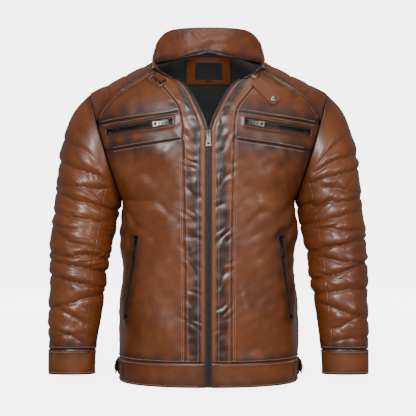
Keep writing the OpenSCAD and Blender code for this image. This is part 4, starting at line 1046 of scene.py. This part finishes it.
def stitching(cut, thread, sizes):
    """Every visible row of stitches: beside the plackets' and the zip's edges, along the chest seams, round
    the pockets, along the hem band, round the cuffs, across the shoulders and along the collar."""
    parts = []
    for side in ("left", "right"):
        for points, normals in stitch_rows(cut, side):
            row = stitched(points, normals, sizes)
            parts.append(row if side == "left" else mirrored(*row))
    rows, _ = collar_rows(cut, np.array([0.07, 0.93]), 190)
    for row, way in ((rows[0], 1), (rows[1], 1)):
        out = unit(row*[1, 1, 0] + [0, 0, -40])
        parts.append(stitched(row + out*2.6*way, out, sizes))
    points, faces = join(parts)
    make_piece("body_stitching", points, faces, thread, None, COAT, None, 60)
    for side in ("left", "right"):
        parts = []
        for t0 in (8.09, 8.91, 7.93):
            a = np.linspace(0, 359, 200)[::-1]
            t = np.full(a.shape, t0)
            p = cut.sleeve_point(t, a, 0)
            n = unit(p - cut.sleeve_point(t, a, 5))
            if t0 < 8:
                p = p + n*sleeve_relief(t, a, p, side)[0][:, None]
            part = stitched(p, n, sizes)
            parts.append(part if side == "left" else mirrored(*part))
        points, faces = join(parts)
        make_piece(f"sleeve_stitching_{side}", points, faces, thread, None, f"sleeve_{side}", None,
                   60)


# ---------------------------------------------------------------- zips
def tooth_shape(width, height):
    """One zip tooth: a block that narrows to a rounded head on its inner side, x from the tape inwards."""
    x = np.array([0, 0.34, 0.62, 0.86, 1.0])*width
    half = np.array([0.36, 0.34, 0.24, 0.30, 0.16])*height
    deep = np.array([0.42, 0.5, 0.44, 0.46, 0.3])*TEETH_T
    corner = np.array([[-1, -0.6], [-0.6, -1], [0.6, -1], [1, -0.6], [1, 0.6], [0.6, 1], [-0.6, 1], [-1, 0.6]])
    rings = np.stack([np.column_stack([np.full(8, x[k]), corner[:, 0]*deep[k], corner[:, 1]*half[k]])
                      for k in range(5)])
    return loft(rings)


def teeth_row(points, inward, width, pitch, start):
    """Teeth along one row, the two rows of a zip half a pitch apart."""
    length = np.concatenate([[0], np.cumsum(np.linalg.norm(np.diff(points, axis=0), axis=1))])
    at = np.arange(start, length[-1] - 0.4*pitch, pitch)
    place = np.stack([np.interp(at, length, c) for c in points.T], -1)
    ahead = np.stack([np.interp(at + 0.5, length, c) for c in points.T], -1)
    behind = np.stack([np.interp(at - 0.5, length, c) for c in points.T], -1)
    inward = np.stack([np.interp(at, length, c) for c in np.broadcast_to(inward, points.shape).T], -1)
    z = unit(ahead - behind)
    x = unit(inward - (inward*z).sum(-1, keepdims=True)*z)
    y = np.cross(z, x)
    return copies(*tooth_shape(width, pitch), place, x, y, z)


def strip(line_a, line_b, out, thick):
    """A closed flat strip between two lines, thick across."""
    a, b = np.asarray(line_a), np.asarray(line_b)
    outer = np.stack([a, lerp(a, b, 0.5), b], 1)
    inner = outer - np.broadcast_to(np.asarray(out, float), a.shape)[:, None]*thick
    points = np.concatenate([outer.reshape(-1, 3), inner.reshape(-1, 3)])
    return points, shell_faces(np.ones((len(a) - 1, 2), bool))


def front_zip(cut, tape, metal, pitch):
    """The front zip: two tapes that follow the leather's edges, and two rows of teeth that mesh below the
    slider and go on up the open edges and the collar's front edges."""
    z = np.concatenate([np.linspace(0.4, ZIP_TOP, 160)[:-1], np.linspace(ZIP_TOP, OPEN_TOP, 60)])

    def edge(shift, depth):
        th = cut.angle_at(v_x(z) + shift, z)
        n = cut.normal(th, z)
        height = body_relief(cut, th, z)*smooth(ZIP_TOP, ZIP_TOP + 30, z) - depth
        return cut.surf(th, z) + n*height[:, None], n
    left_a, n = edge(-EDGE, ZIP_IN - TAPE_T/2)
    left_b, _ = edge(8.0, ZIP_IN - TAPE_T/2)
    left = strip(left_a, left_b, n, TAPE_T)
    points, faces = join([left, mirrored(*left)])
    make_piece("front_zip_tapes", points, faces, tape, None, COAT, "zip_tapes")
    first = np.searchsorted(z, TEETH_FROM)
    line = edge(CHAIN_OUT - EDGE + 0.1, ZIP_IN)[0][first:]
    toward = edge(-EDGE, ZIP_IN)[0][first:]
    inward = unit(toward - line)
    parts = [teeth_row(line, inward, MESHED_W, pitch, 0.6)]
    right = teeth_row(line, inward, MESHED_W, pitch, 0.6 + pitch/2)
    parts.append(mirrored(*right))
    rows, _ = collar_rows(cut, np.array([0.06, 0.94]), 19)
    foot, top = rows[0, -1], rows[1, -1]
    back = unit(foot - rows[0, -2])
    bar = lerp(foot, top, np.linspace(0, 1, 30)[:, None]) + back*0.3
    left = teeth_row(bar, back, TEETH_W + 0.3, pitch, 0.6)
    parts += [left, mirrored(*left)]
    points, faces = join(parts)
    make_piece("front_zip_teeth", points, faces, metal, None, COAT, "zip_chains", 40)


def chest_frame(cut):
    """The chest zip's arc: the circle through three points of the chest, in the plane that falls with the
    pocket's slope."""
    tilt = math.atan(CHEST_SLOPE)
    run = np.array([math.cos(tilt), 0, -math.sin(tilt)])
    xs = np.array([74.0, (74 + 192.5)/2, 192.5])
    p = cut.surf(cut.angle_at(xs, chest_z(xs)), chest_z(xs))
    flat = np.stack([(p - p[0])@run, p[:, 1]], -1)
    a, b, c = flat
    d = 2*(a[0]*(b[1] - c[1]) + b[0]*(c[1] - a[1]) + c[0]*(a[1] - b[1]))
    cx = ((a@a)*(b[1] - c[1]) + (b@b)*(c[1] - a[1]) + (c@c)*(a[1] - b[1]))/d
    cy = ((a@a)*(c[0] - b[0]) + (b@b)*(a[0] - c[0]) + (c@c)*(b[0] - a[0]))/d
    radius = math.hypot(a[0] - cx, a[1] - cy)
    centre = p[0] + run*cx + np.array([0, cy - p[0][1], 0])
    phi = math.degrees(math.atan2(a[0] - cx, cy - a[1]))
    return centre, run, radius, phi


def pocket_zips(cut, metal, pitch):
    """The teeth of the chest pockets' curved zips and of the side pockets' straight ones, closed."""
    centre, run, radius, phi0 = chest_frame(cut)
    up = np.array([math.sin(math.atan(CHEST_SLOPE)), 0, math.cos(math.atan(CHEST_SLOPE))])
    phi = np.radians(np.linspace(phi0, phi0 + math.degrees(126/radius), 60))
    out = np.sin(phi)[:, None]*run + np.cos(phi)[:, None]*np.array([0, -1.0, 0])
    middle = centre + (radius - CHEST_IN)*out
    parts = []
    for sign, start in ((1, FIRST_TOOTH), (-1, FIRST_TOOTH + pitch/2)):
        line = middle + sign*up*(CHAIN_OUT + 0.1)
        row = teeth_row(line, -sign*up, MESHED_W, pitch, start)
        parts += [row, mirrored(*row)]
    points, faces = join(parts)
    make_piece("chest_zip_teeth", points, faces, metal, None, COAT, "chest_zip_chains", 40)
    axis = unit(cut.top - cut.low)
    outward = np.array([math.sin(math.radians(56)), -math.cos(math.radians(56)), 0])
    outward = unit(outward - (outward@axis)*axis)
    across = np.cross(axis, outward)
    line = lerp(cut.low, cut.top, np.linspace(0, 1, 40)[:, None]) - HIP_IN*outward
    parts = []
    for sign, start in ((1, FIRST_TOOTH), (-1, FIRST_TOOTH + pitch/2)):
        row = teeth_row(line + sign*across*(CHAIN_OUT + 0.1), -sign*across, MESHED_W, pitch, start)
        parts += [row, mirrored(*row)]
    points, faces = join(parts)
    make_piece("side_zip_teeth", points, faces, metal, None, COAT, "side_zip_chains", 40)


def pocket_welts(cut, leather):
    """The turned leather lips that narrow every pocket's slot: a round lip on each side of the slot, from
    one end of the zip to the other."""
    turn = np.arange(10)*np.pi/5
    parts = []

    def lip(th, z):
        n = cut.normal(th, z)
        line = cut.surf(th, z) - 1.0*n
        direction = unit(np.gradient(line, axis=0))
        b = np.cross(n, direction)
        rings = line[:, None] + (1.25*np.cos(turn)[None, :, None]*b[:, None]
                                 + 0.95*np.sin(turn)[None, :, None]*n[:, None])
        left = loft(rings)
        parts.extend([left, mirrored(*left)])
    for offset in (-5.5, 5.5):
        x = np.linspace(70.5, 195.5, 100)
        z = chest_z(x) + offset
        lip(cut.angle_at(x, z), z)
        z = np.linspace(cut.low[2] + 1, cut.top[2] - 1, 100)
        middle = cut.side_slot(z)
        lip(middle + offset/SLOT_HALF*cut.slot_angle(middle, z), z)
    points, faces = join(parts)
    dark = np.full(len(points), 0.75)
    make_piece("pocket_welts", points, faces, leather, {"burnish_and_shade": dark, "worn": 0.3*dark}, COAT, None)


def piping(cut, leather):
    """The double cord along each shoulder seam: two round cords side by side, half sunk in the seam."""
    z = np.linspace(511, 607, 90)
    parts = []
    turn = np.arange(12)*np.pi/6
    for shift, radius in ((-1.6, 1.9), (2.6, 1.7)):
        th = cut.angle_at(piping_x(z) + shift, z)
        n = cut.normal(th, z)
        line = cut.surf(th, z) + 0.45*n
        direction = unit(np.gradient(line, axis=0))
        b = np.cross(n, direction)
        taper = smooth(0, 0.04, np.linspace(0, 1, len(z)))*smooth(0, 0.04, np.linspace(1, 0, len(z)))
        r = radius*(0.35 + 0.65*taper)
        rings = line[:, None] + r[:, None, None]*(np.cos(turn)[None, :, None]*b[:, None]
                                                  + np.sin(turn)[None, :, None]*n[:, None])
        left = loft(rings)
        parts += [left, mirrored(*left)]
    points, faces = join(parts)
    dark = np.full(len(points), 0.55)
    make_piece("shoulder_cords", points, faces, leather, {"burnish_and_shade": dark, "worn": 0.25*dark}, COAT,
               "yoke_piping")


# ---------------------------------------------------------------- materials
FIXED = {"specular": "Specular IOR Level", "coat": "Coat Weight", "coat_roughness": "Coat Roughness",
         "sheen": "Sheen Weight", "sheen_roughness": "Sheen Roughness", "metallic": "Metallic"}


class Nodes:
    """A material's node tree, with short calls that add a node and join sockets."""

    def __init__(self, name):
        self.material = bpy.data.materials.new(name)
        self.material.use_nodes = True
        self.tree = self.material.node_tree
        self.shader = self.tree.nodes["Principled BSDF"]
        self.place = self.add("ShaderNodeTexCoord").outputs["Object"]

    def add(self, kind, **values):
        """A new node, its properties or inputs set by name."""
        node = self.tree.nodes.new(kind)
        for key, value in values.items():
            if hasattr(node, key):
                setattr(node, key, value)
            else:
                node.inputs[key.replace("_", " ").title()].default_value = value
        return node

    def join(self, source, target):
        """A link between two sockets."""
        self.tree.links.new(source, target)

    def noise(self, scale, detail=3.0, roughness=0.55, stretch=None, distortion=0.0):
        """Noise on Object coordinates; scale is in repeats for each metre, stretch squeezes the axes."""
        node = self.add("ShaderNodeTexNoise")
        node.inputs["Scale"].default_value = scale
        node.inputs["Detail"].default_value = detail
        node.inputs["Roughness"].default_value = roughness
        node.inputs["Distortion"].default_value = distortion
        source = self.place
        if stretch:
            mapping = self.add("ShaderNodeMapping")
            mapping.inputs["Scale"].default_value = stretch
            self.join(source, mapping.inputs["Vector"])
            source = mapping.outputs["Vector"]
        self.join(source, node.inputs["Vector"])
        return node.outputs["Fac"]

    def cells(self, scale, feature="DISTANCE_TO_EDGE"):
        """Distance to the edge of Voronoi cells; scale is in cells for each metre."""
        node = self.add("ShaderNodeTexVoronoi")
        node.feature = feature
        node.inputs["Scale"].default_value = scale
        self.join(self.place, node.inputs["Vector"])
        return node.outputs["Distance"]

    def attribute(self, name):
        """A value that the mesh carries at its points."""
        node = self.add("ShaderNodeAttribute")
        node.attribute_name = name
        return node.outputs["Fac"]

    def math(self, operation, a, b=None, clamp=False):
        """One sum on two sockets or numbers."""
        node = self.add("ShaderNodeMath")
        node.operation = operation
        node.use_clamp = clamp
        for socket, value in zip(node.inputs, (a, b)):
            if value is None:
                continue
            if isinstance(value, (int, float)):
                socket.default_value = value
            else:
                self.join(value, socket)
        return node.outputs["Value"]

    def spread(self, value, low, high, to_low=0.0, to_high=1.0):
        """Maps the stretch from low to high onto another stretch, held at both ends."""
        node = self.add("ShaderNodeMapRange")
        self.join(value, node.inputs["Value"])
        for name, number in (("From Min", low), ("From Max", high), ("To Min", to_low), ("To Max", to_high)):
            node.inputs[name].default_value = number
        return node.outputs["Result"]

    def mix(self, factor, a, b, blend="MIX"):
        """Two colours mixed by a factor."""
        node = self.add("ShaderNodeMix")
        node.data_type = "RGBA"
        node.blend_type = blend
        for name, value in (("Factor", factor), ("A", a), ("B", b)):
            socket = next(s for s in node.inputs if s.name == name and s.enabled)
            if isinstance(value, (int, float)):
                socket.default_value = value
            elif isinstance(value, (tuple, list)):
                socket.default_value = (*value, 1)
            else:
                self.join(value, socket)
        return next(s for s in node.outputs if s.enabled)

    def bump(self, height, strength, distance, normal=None):
        """A height turned into a normal, on top of another one."""
        node = self.add("ShaderNodeBump")
        node.inputs["Strength"].default_value = strength
        node.inputs["Distance"].default_value = distance
        self.join(height, node.inputs["Height"])
        if normal is not None:
            self.join(normal, node.inputs["Normal"])
        return node.outputs["Normal"]

    def finish(self, color=None, roughness=None, normal=None, **fixed):
        """Joins or sets the shader's inputs, and gives the material."""
        for name, value in (("Base Color", color), ("Roughness", roughness), ("Normal", normal)):
            if value is None:
                continue
            socket = self.shader.inputs[name]
            if isinstance(value, (tuple, list)):
                socket.default_value = (*value, 1)
            elif isinstance(value, (int, float)):
                socket.default_value = value
            else:
                self.join(value, socket)
        for name, value in fixed.items():
            self.shader.inputs[FIXED[name]].default_value = value
        return self.material


def leather_material(colors, dark_by_itself=0.0):
    """Waxed cow leather: cloudy brown, lighter where it is worn and at the edges, darkened along the seams
    by burnished colour and in the sleeves' creases by painted shade, over a pebbled grain of fine cells
    and soft pores."""
    m = Nodes("waxed_leather" if dark_by_itself == 0 else "burnished_leather")
    cloud = m.noise(9, 4, 0.6)
    blotch = m.noise(38, 4, 0.62, (1, 1, 0.7), 0.4)
    speck = m.noise(210, 3, 0.6)
    color = m.mix(m.spread(cloud, 0.32, 0.68), tuple(colors.leather_deep), tuple(colors.leather))
    color = m.mix(m.spread(blotch, 0.50, 0.80, 0, 0.35), color, tuple(colors.leather_light))
    color = m.mix(m.spread(speck, 0.55, 0.8, 0, 0.25), color, tuple(colors.leather_deep))
    edges = m.math("MULTIPLY", m.attribute("worn"), m.spread(blotch, 0.35, 0.7, 0.1, 0.5))
    color = m.mix(edges, color, tuple(colors.leather_light))
    # the attribute mixed in here holds the seams' burnish and, on the sleeves, painted shade in the creases
    mottle = m.math("ADD", m.attribute("burnish_and_shade"), m.spread(blotch, 0.3, 0.7, -0.16, 0.16))
    mottle = m.math("ADD", mottle, dark_by_itself)
    amount = m.spread(mottle, 0.12, 0.95, 0, 0.93)
    color = m.mix(amount, color, tuple(colors.burnish_and_shade))
    grain = m.cells(760)
    pores = m.noise(1500, 2, 0.5)
    soft = m.noise(120, 3, 0.6)
    n = m.bump(soft, 0.22, 0.0012)
    n = m.bump(m.spread(grain, 0.0, 0.22), 0.16, 0.0003, n)
    n = m.bump(pores, 0.06, 0.0002, n)
    rough = m.spread(m.math("ADD", blotch, m.math("MULTIPLY", speck, 0.4)), 0.45, 1.0, 0.34, 0.5)
    return m.finish(color, rough, n, specular=0.45, coat=0.24, coat_roughness=0.22)


def lining_material(colors):
    """Black lining cloth: a fine twill of slanting ridges with a soft sheen."""
    m = Nodes("black_lining")
    wave = m.add("ShaderNodeTexWave")
    wave.inputs["Scale"].default_value = 420
    wave.inputs["Distortion"].default_value = 0.6
    mapping = m.add("ShaderNodeMapping")
    mapping.inputs["Rotation"].default_value = (0.3, 0.4, 0.9)
    m.join(m.place, mapping.inputs["Vector"])
    m.join(mapping.outputs["Vector"], wave.inputs["Vector"])
    n = m.bump(m.noise(60, 3), 0.25, 0.0015)
    n = m.bump(wave.outputs["Fac"], 0.2, 0.0002, n)
    color = m.mix(m.noise(25, 2), tuple(0.7*c for c in colors.lining), tuple(1.25*c for c in colors.lining))
    return m.finish(color, 0.62, n, sheen=0.35, sheen_roughness=0.4)


def tape_material(colors):
    """Woven zip tape: close ribs across a dark ribbon."""
    m = Nodes("zip_tape")
    weave = m.cells(1400, "F1")
    n = m.bump(weave, 0.4, 0.0003)
    color = m.mix(m.noise(90, 3), tuple(colors.tape), tuple(1.6*c for c in colors.tape))
    return m.finish(color, 0.8, n, sheen=0.3)


def metal_material(name, color, rough):
    """Aged nickel: darkened in blotches, with fine scuffs that change its gloss."""
    m = Nodes(name)
    blotch = m.noise(160, 4, 0.6)
    scuff = m.noise(900, 3, 0.7, (1, 1, 5))
    shade = m.mix(m.spread(blotch, 0.35, 0.7), tuple(0.55*c for c in color), tuple(color))
    n = m.bump(scuff, 0.08, 0.0002)
    return m.finish(shade, m.spread(scuff, 0.3, 0.75, rough - 0.08, rough + 0.14), n, metallic=1.0)


def thread_material(colors):
    """Twisted thread: slanting turns along a waxed brown cord."""
    m = Nodes("stitch_thread")
    n = m.bump(m.noise(2600, 2), 0.4, 0.0002)
    color = m.mix(m.noise(140, 2), tuple(0.75*c for c in colors.thread_color),
                  tuple(1.2*c for c in colors.thread_color))
    return m.finish(color, 0.55, n, sheen=0.15)


def floor_material(shade):
    """Matt studio paper with a faint unevenness."""
    m = Nodes("studio_paper")
    color = m.mix(m.noise(3, 2), tuple(0.985*c for c in shade), tuple(shade))
    m.shader.inputs["Emission Color"].default_value = (1, 1, 1, 1)
    m.shader.inputs["Emission Strength"].default_value = 5.0
    return m.finish(color, 0.9, m.bump(m.noise(200, 2), 0.05, 0.0005), specular=0.2)


# ---------------------------------------------------------------- what a user would change
class JacketSizes(bpy.types.PropertyGroup):
    """The cut's driving sizes. They follow the frame, so a change here belongs in the frame first."""
    hem_half: FloatProperty(name="Hem half width", description="Half width of the hem", default=0.178,
                            unit="LENGTH")
    waist_half: FloatProperty(name="Waist half width", description="Half width at the waist", default=0.170,
                              unit="LENGTH")
    front_depth: FloatProperty(name="Front depth", description="From the middle plane to the front zip",
                               default=0.137, unit="LENGTH")
    back_depth: FloatProperty(name="Back depth", description="From the middle plane to the shoulder blades",
                              default=0.142, unit="LENGTH")
    armpit_z: FloatProperty(name="Armpit height", description="Height of the armpit", default=0.355,
                            unit="LENGTH")
    armpit_x: FloatProperty(name="Armpit half width", description="Half width at the armpit", default=0.172,
                            unit="LENGTH")
    tip_z: FloatProperty(name="Shoulder height", description="Height of the shoulder tip", default=0.567,
                         unit="LENGTH")
    tip_x: FloatProperty(name="Shoulder half width", description="Half of the shoulder width", default=0.236,
                         unit="LENGTH")
    armhole_half: FloatProperty(name="Armhole half size", description="Half the armhole's size front to back",
                                default=0.076, unit="LENGTH")
    neck_z: FloatProperty(name="Neck height", description="Height of the neckline at the side of the neck",
                          default=0.638, unit="LENGTH")
    neck_x: FloatProperty(name="Neck half width", description="Half width of the neckline", default=0.097,
                          unit="LENGTH")
    cuff_z: FloatProperty(name="Cuff height", description="Height of the cuffs' lower edge", default=0.013,
                          unit="LENGTH")
    cuff_h: FloatProperty(name="Cuff width", description="Height of the cuffs", default=0.052, unit="LENGTH")


class JacketFinish(bpy.types.PropertyGroup):
    """Stitches, teeth and colours."""
    stitch_pitch: FloatProperty(name="Stitch pitch", description="From one stitch to the next", default=0.0042,
                                min=0.003, max=0.008, unit="LENGTH")
    stitch_length: FloatProperty(name="Stitch length", description="Length of one stitch", default=0.0034,
                                 min=0.002, max=0.007, unit="LENGTH")
    thread: FloatProperty(name="Thread", description="Thickness of the thread", default=0.00105, min=0.0004,
                          max=0.0015, unit="LENGTH")
    tooth_pitch: FloatProperty(name="Tooth pitch", description="From one zip tooth to the next",
                               default=0.0026, min=0.002, max=0.004, unit="LENGTH")
    leather: FloatVectorProperty(name="Leather", description="Main colour of the leather", subtype="COLOR",
                                 default=(0.185, 0.049, 0.011), min=0, max=1)
    leather_light: FloatVectorProperty(name="Worn leather", description="Colour where the leather is worn",
                                       subtype="COLOR", default=(0.29, 0.088, 0.022), min=0, max=1)
    leather_deep: FloatVectorProperty(name="Deep leather", description="Darker clouds in the leather",
                                      subtype="COLOR", default=(0.115, 0.028, 0.0065), min=0, max=1)
    # this colour paints the seams' burnish and also the painted shade in the sleeves' creases
    burnish_and_shade: FloatVectorProperty(name="Burnish", description="Dark stain along the seams", subtype="COLOR",
                                 default=(0.020, 0.0085, 0.0055), min=0, max=1)
    lining: FloatVectorProperty(name="Lining", description="Colour of the lining", subtype="COLOR",
                                default=(0.012, 0.013, 0.014), min=0, max=1)
    tape: FloatVectorProperty(name="Zip tape", description="Colour of the zip tape", subtype="COLOR",
                              default=(0.018, 0.014, 0.012), min=0, max=1)
    metal: FloatVectorProperty(name="Metal", description="Colour of the rings, snaps and sliders",
                               subtype="COLOR", default=(0.36, 0.33, 0.29), min=0, max=1)
    thread_color: FloatVectorProperty(name="Thread colour", description="Colour of the stitches",
                                      subtype="COLOR", default=(0.42, 0.20, 0.11), min=0, max=1)
    backdrop: FloatVectorProperty(name="Backdrop", description="Colour of the floor and backdrop",
                                  subtype="COLOR", default=(0.86, 0.86, 0.865), min=0, max=1)

    @property
    def stitch_sizes(self):
        return self.stitch_pitch/MM, self.stitch_length/MM, self.thread/MM


# ---------------------------------------------------------------- metal parts of the frame
WELD_GAP, METAL_BEVEL = 0.00002, 0.00028    # metres
SHARP_EDGE = 35                             # degrees


def finish_hardware(nickel, dark_metal):
    """Gives the frame's metal pieces their finish, and rounds their edges: near corners are welded and
    every sharp edge gets a small bevel."""
    for name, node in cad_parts.items():
        is_metal = any(word in name for word in ("slider", "pull", "ring", "snap", "socket", "stops"))
        if not is_metal or name.endswith("tabs") or name.startswith("sleeve"):
            continue
        set_material(node, dark_metal if "stops" in name or "slider" in name else nickel)
        weld = node.modifiers.new("Weld", "WELD")
        weld.merge_threshold = WELD_GAP
        bevel = node.modifiers.new("Bevel", "BEVEL")
        bevel.width = METAL_BEVEL
        bevel.segments = 2
        bevel.limit_method = "ANGLE"
        bevel.angle_limit = math.radians(SHARP_EDGE)
        bevel.use_clamp_overlap = True


def set_material(node, material):
    """The one material of a piece of the frame."""
    node.data.materials.clear()
    node.data.materials.append(material)


def finish_cloth(lining, tape, leather, dark_leather):
    """Gives the frame's cloth and leather pieces that keep their own shape their material."""
    for material, names in ((lining, ["pocket_bags"]), (tape, ["chest_zip_tapes", "side_zip_tapes"]),
                            (dark_leather, ["throat_tab", "waist_tabs", "waist_strap_right",
                                            "waist_strap_left"]),
                            (leather, ["throat_strap"])):
        for name in names:
            set_material(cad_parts[name], material)


# ---------------------------------------------------------------- operators
BUILT = {}


def cut_of(context):
    """The cut for the scene's sizes, worked out once."""
    if "cut" not in BUILT:
        BUILT["cut"] = Cut(context.scene.jacket_sizes)
    return BUILT["cut"]


def material_of(context, name):
    """The finish of that name, made once from the scene's colours."""
    if name not in BUILT:
        colors = context.scene.jacket_finish
        makers = {
            "leather": lambda: leather_material(colors),
            "dark_leather": lambda: leather_material(colors, 0.55),
            "lining": lambda: lining_material(colors),
            "tape": lambda: tape_material(colors),
            "nickel": lambda: metal_material("antique_nickel", tuple(colors.metal), 0.33),
            "dark_metal": lambda: metal_material("dark_nickel", tuple(0.3*c for c in colors.metal), 0.38),
            "thread": lambda: thread_material(colors),
            "floor": lambda: floor_material(tuple(colors.backdrop)),
        }
        BUILT[name] = makers[name]()
    return BUILT[name]


class JACKET_OT_body(bpy.types.Operator):
    """Sew the body's leather: fronts, chest, plackets, shoulders, back and hem band"""
    bl_idname = "jacket.body"
    bl_label = "Body leather"

    def execute(self, context):
        cut = cut_of(context)
        leather = material_of(context, "leather")
        for side in ("right", "left"):
            for panel in (front_panel, chest_band, chest_yoke, shoulder_panel, placket):
                panel(cut, side, leather)
        back_leather(cut, leather)
        hem_band(cut, leather)
        piping(cut, leather)
        pocket_welts(cut, leather)
        return {"FINISHED"}


class JACKET_OT_collar(bpy.types.Operator):
    """Add the stand collar's two layers of leather"""
    bl_idname = "jacket.collar"
    bl_label = "Collar"

    def execute(self, context):
        collar(cut_of(context), material_of(context, "leather"))
        return {"FINISHED"}


class JACKET_OT_inside(bpy.types.Operator):
    """Hang the lining, and sew in the facings, the neck patch and its labels"""
    bl_idname = "jacket.inside"
    bl_label = "Facings and lining"

    def execute(self, context):
        cut = cut_of(context)
        leather, lining = material_of(context, "leather"), material_of(context, "lining")
        facings(cut, leather, lining)
        low, high = cut.neck_z - 37, cut.neck_z + 17
        neck_piece(cut, "neck_patch", 48, low, high, 10.2, 1.2, leather, dome=0.1)
        neck_piece(cut, "neck_label", 29, low + 11, high - 8, 11.7, 0.6, lining)
        neck_piece(cut, "size_tag", 5.5, low + 5.5, low + 10.2, 11.8, 0.5, lining, 0.8)
        return {"FINISHED"}


class JACKET_OT_sleeves(bpy.types.Operator):
    """Set in the sleeves with their folds, linings and cuffs"""
    bl_idname = "jacket.sleeves"
    bl_label = "Sleeves"

    def execute(self, context):
        sleeves(cut_of(context), material_of(context, "leather"), material_of(context, "lining"))
        return {"FINISHED"}


class JACKET_OT_stitching(bpy.types.Operator):
    """Sew every visible row of stitches"""
    bl_idname = "jacket.stitching"
    bl_label = "Stitching"

    def execute(self, context):
        sizes = context.scene.jacket_finish.stitch_sizes
        stitching(cut_of(context), material_of(context, "thread"), sizes)
        return {"FINISHED"}


class JACKET_OT_zips(bpy.types.Operator):
    """Put in the front zip's teeth and tapes, and the teeth of the chest and side zips"""
    bl_idname = "jacket.zips"
    bl_label = "Zips"

    def execute(self, context):
        cut = cut_of(context)
        pitch = context.scene.jacket_finish.tooth_pitch/MM
        metal = material_of(context, "dark_metal")
        front_zip(cut, material_of(context, "tape"), metal, pitch)
        pocket_zips(cut, metal, pitch)
        return {"FINISHED"}


class JACKET_OT_hardware(bpy.types.Operator):
    """Finish the frame's own sliders, pulls, rings, snaps, straps and tapes"""
    bl_idname = "jacket.hardware"
    bl_label = "Hardware and straps"

    def execute(self, context):
        finish_hardware(material_of(context, "nickel"), material_of(context, "dark_metal"))
        finish_cloth(material_of(context, "lining"), material_of(context, "tape"),
                     material_of(context, "leather"), material_of(context, "dark_leather"))
        return {"FINISHED"}


class JACKET_OT_stage(bpy.types.Operator):
    """Set up the camera, the paper backdrop and the soft boxes"""
    bl_idname = "jacket.stage"
    bl_label = "Stage"

    def execute(self, context):
        scene = context.scene
        camera = bpy.data.cameras.new("camera")
        camera.sensor_width = SENSOR
        camera.lens = SENSOR*CAMERA_FAR/SEEN_WIDTH
        camera.shift_x = CAMERA_SHIFT
        eye = bpy.data.objects.new("camera", camera)
        eye.location = (0, -CAMERA_FAR, CAMERA_UP)
        eye.rotation_euler = (math.radians(90), 0, 0)
        scene.collection.objects.link(eye)
        scene.camera = eye
        self.backdrop(context)
        for name, place, size, power in LAMPS:
            light = bpy.data.lights.new(name, "AREA")
            light.shape = "RECTANGLE"
            light.size, light.size_y = size, size*LAMP_SHAPE
            light.energy = power
            lamp = bpy.data.objects.new(name, light)
            lamp.location = place
            lamp.visible_glossy = not name.startswith("back")
            lamp.rotation_euler = (Vector(LAMP_AIM) - Vector(place)).to_track_quat("-Z", "Y").to_euler()
            scene.collection.objects.link(lamp)
        world = bpy.data.worlds.new("studio")
        world.use_nodes = True
        sky = world.node_tree.nodes["Background"]
        sky.inputs["Color"].default_value = SKY_COLOUR
        sky.inputs["Strength"].default_value = SKY_STRENGTH
        scene.world = world
        return {"FINISHED"}

    def backdrop(self, context):
        """A round white studio: a flat floor whose edge rises in a quarter circle to a wall all round."""
        rise = np.linspace(0, np.pi/2, 14)
        flat = np.concatenate([[0.01], np.linspace(1, FLOOR_FLAT, 9)])
        r = np.concatenate([flat, FLOOR_FLAT + FLOOR_RISE*np.sin(rise[1:]), [FLOOR_FLAT + FLOOR_RISE]])
        z = np.concatenate([np.zeros(len(flat)), FLOOR_RISE - FLOOR_RISE*np.cos(rise[1:]),
                            [WALL_TOP]]) - FLOOR_DROP
        turn = np.linspace(0, 2*np.pi, FLOOR_TURNS + 1)[:-1]
        ring = np.stack([r[:, None]*np.cos(turn), r[:, None]*np.sin(turn),
                         np.repeat(z[:, None], FLOOR_TURNS, 1)], -1)
        index = np.arange(ring.shape[0]*FLOOR_TURNS).reshape(-1, FLOOR_TURNS)
        after = np.roll(index, -1, 1)
        quads = np.stack([index[:-1], index[1:], after[1:], after[:-1]], -1).reshape(-1, 4)
        mesh = bpy.data.meshes.new("floor")
        mesh.from_pydata(ring.reshape(-1, 3).tolist(), [], quads.tolist())
        mesh.shade_smooth()
        mesh.materials.append(material_of(context, "floor"))
        floor = bpy.data.objects.new("floor", mesh)
        context.scene.collection.objects.link(floor)
        floor.visible_glossy = False
        floor.visible_diffuse = False
        floor.visible_shadow = False


class JACKET_PT_panel(bpy.types.Panel):
    """Sizes, finish and one button for each step"""
    bl_idname = "JACKET_PT_panel"
    bl_label = "Riding Jacket"
    bl_space_type = "VIEW_3D"
    bl_region_type = "UI"
    bl_category = "Jacket"

    def draw(self, context):
        for group in (context.scene.jacket_sizes, context.scene.jacket_finish):
            box = self.layout.box()
            for name in group.bl_rna.properties.keys():
                if name not in ("name", "rna_type"):
                    box.prop(group, name)
        for operator in OPERATORS:
            self.layout.operator(operator.bl_idname)


OPERATORS = (JACKET_OT_stage, JACKET_OT_body, JACKET_OT_collar, JACKET_OT_inside, JACKET_OT_sleeves,
             JACKET_OT_stitching, JACKET_OT_zips, JACKET_OT_hardware)
CLASSES = (JacketSizes, JacketFinish, *OPERATORS, JACKET_PT_panel)


def register():
    for cls in CLASSES:
        bpy.utils.register_class(cls)
    bpy.types.Scene.jacket_sizes = PointerProperty(type=JacketSizes)
    bpy.types.Scene.jacket_finish = PointerProperty(type=JacketFinish)


def unregister():
    del bpy.types.Scene.jacket_finish
    del bpy.types.Scene.jacket_sizes
    for cls in reversed(CLASSES):
        bpy.utils.unregister_class(cls)


def main():
    """Builds the whole jacket."""
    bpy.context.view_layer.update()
    register()
    bpy.ops.jacket.stage()
    bpy.ops.jacket.body()
    bpy.ops.jacket.collar()
    bpy.ops.jacket.inside()
    bpy.ops.jacket.sleeves()
    bpy.ops.jacket.stitching()
    bpy.ops.jacket.zips()
    bpy.ops.jacket.hardware()


if __name__ == "__main__":
    main()
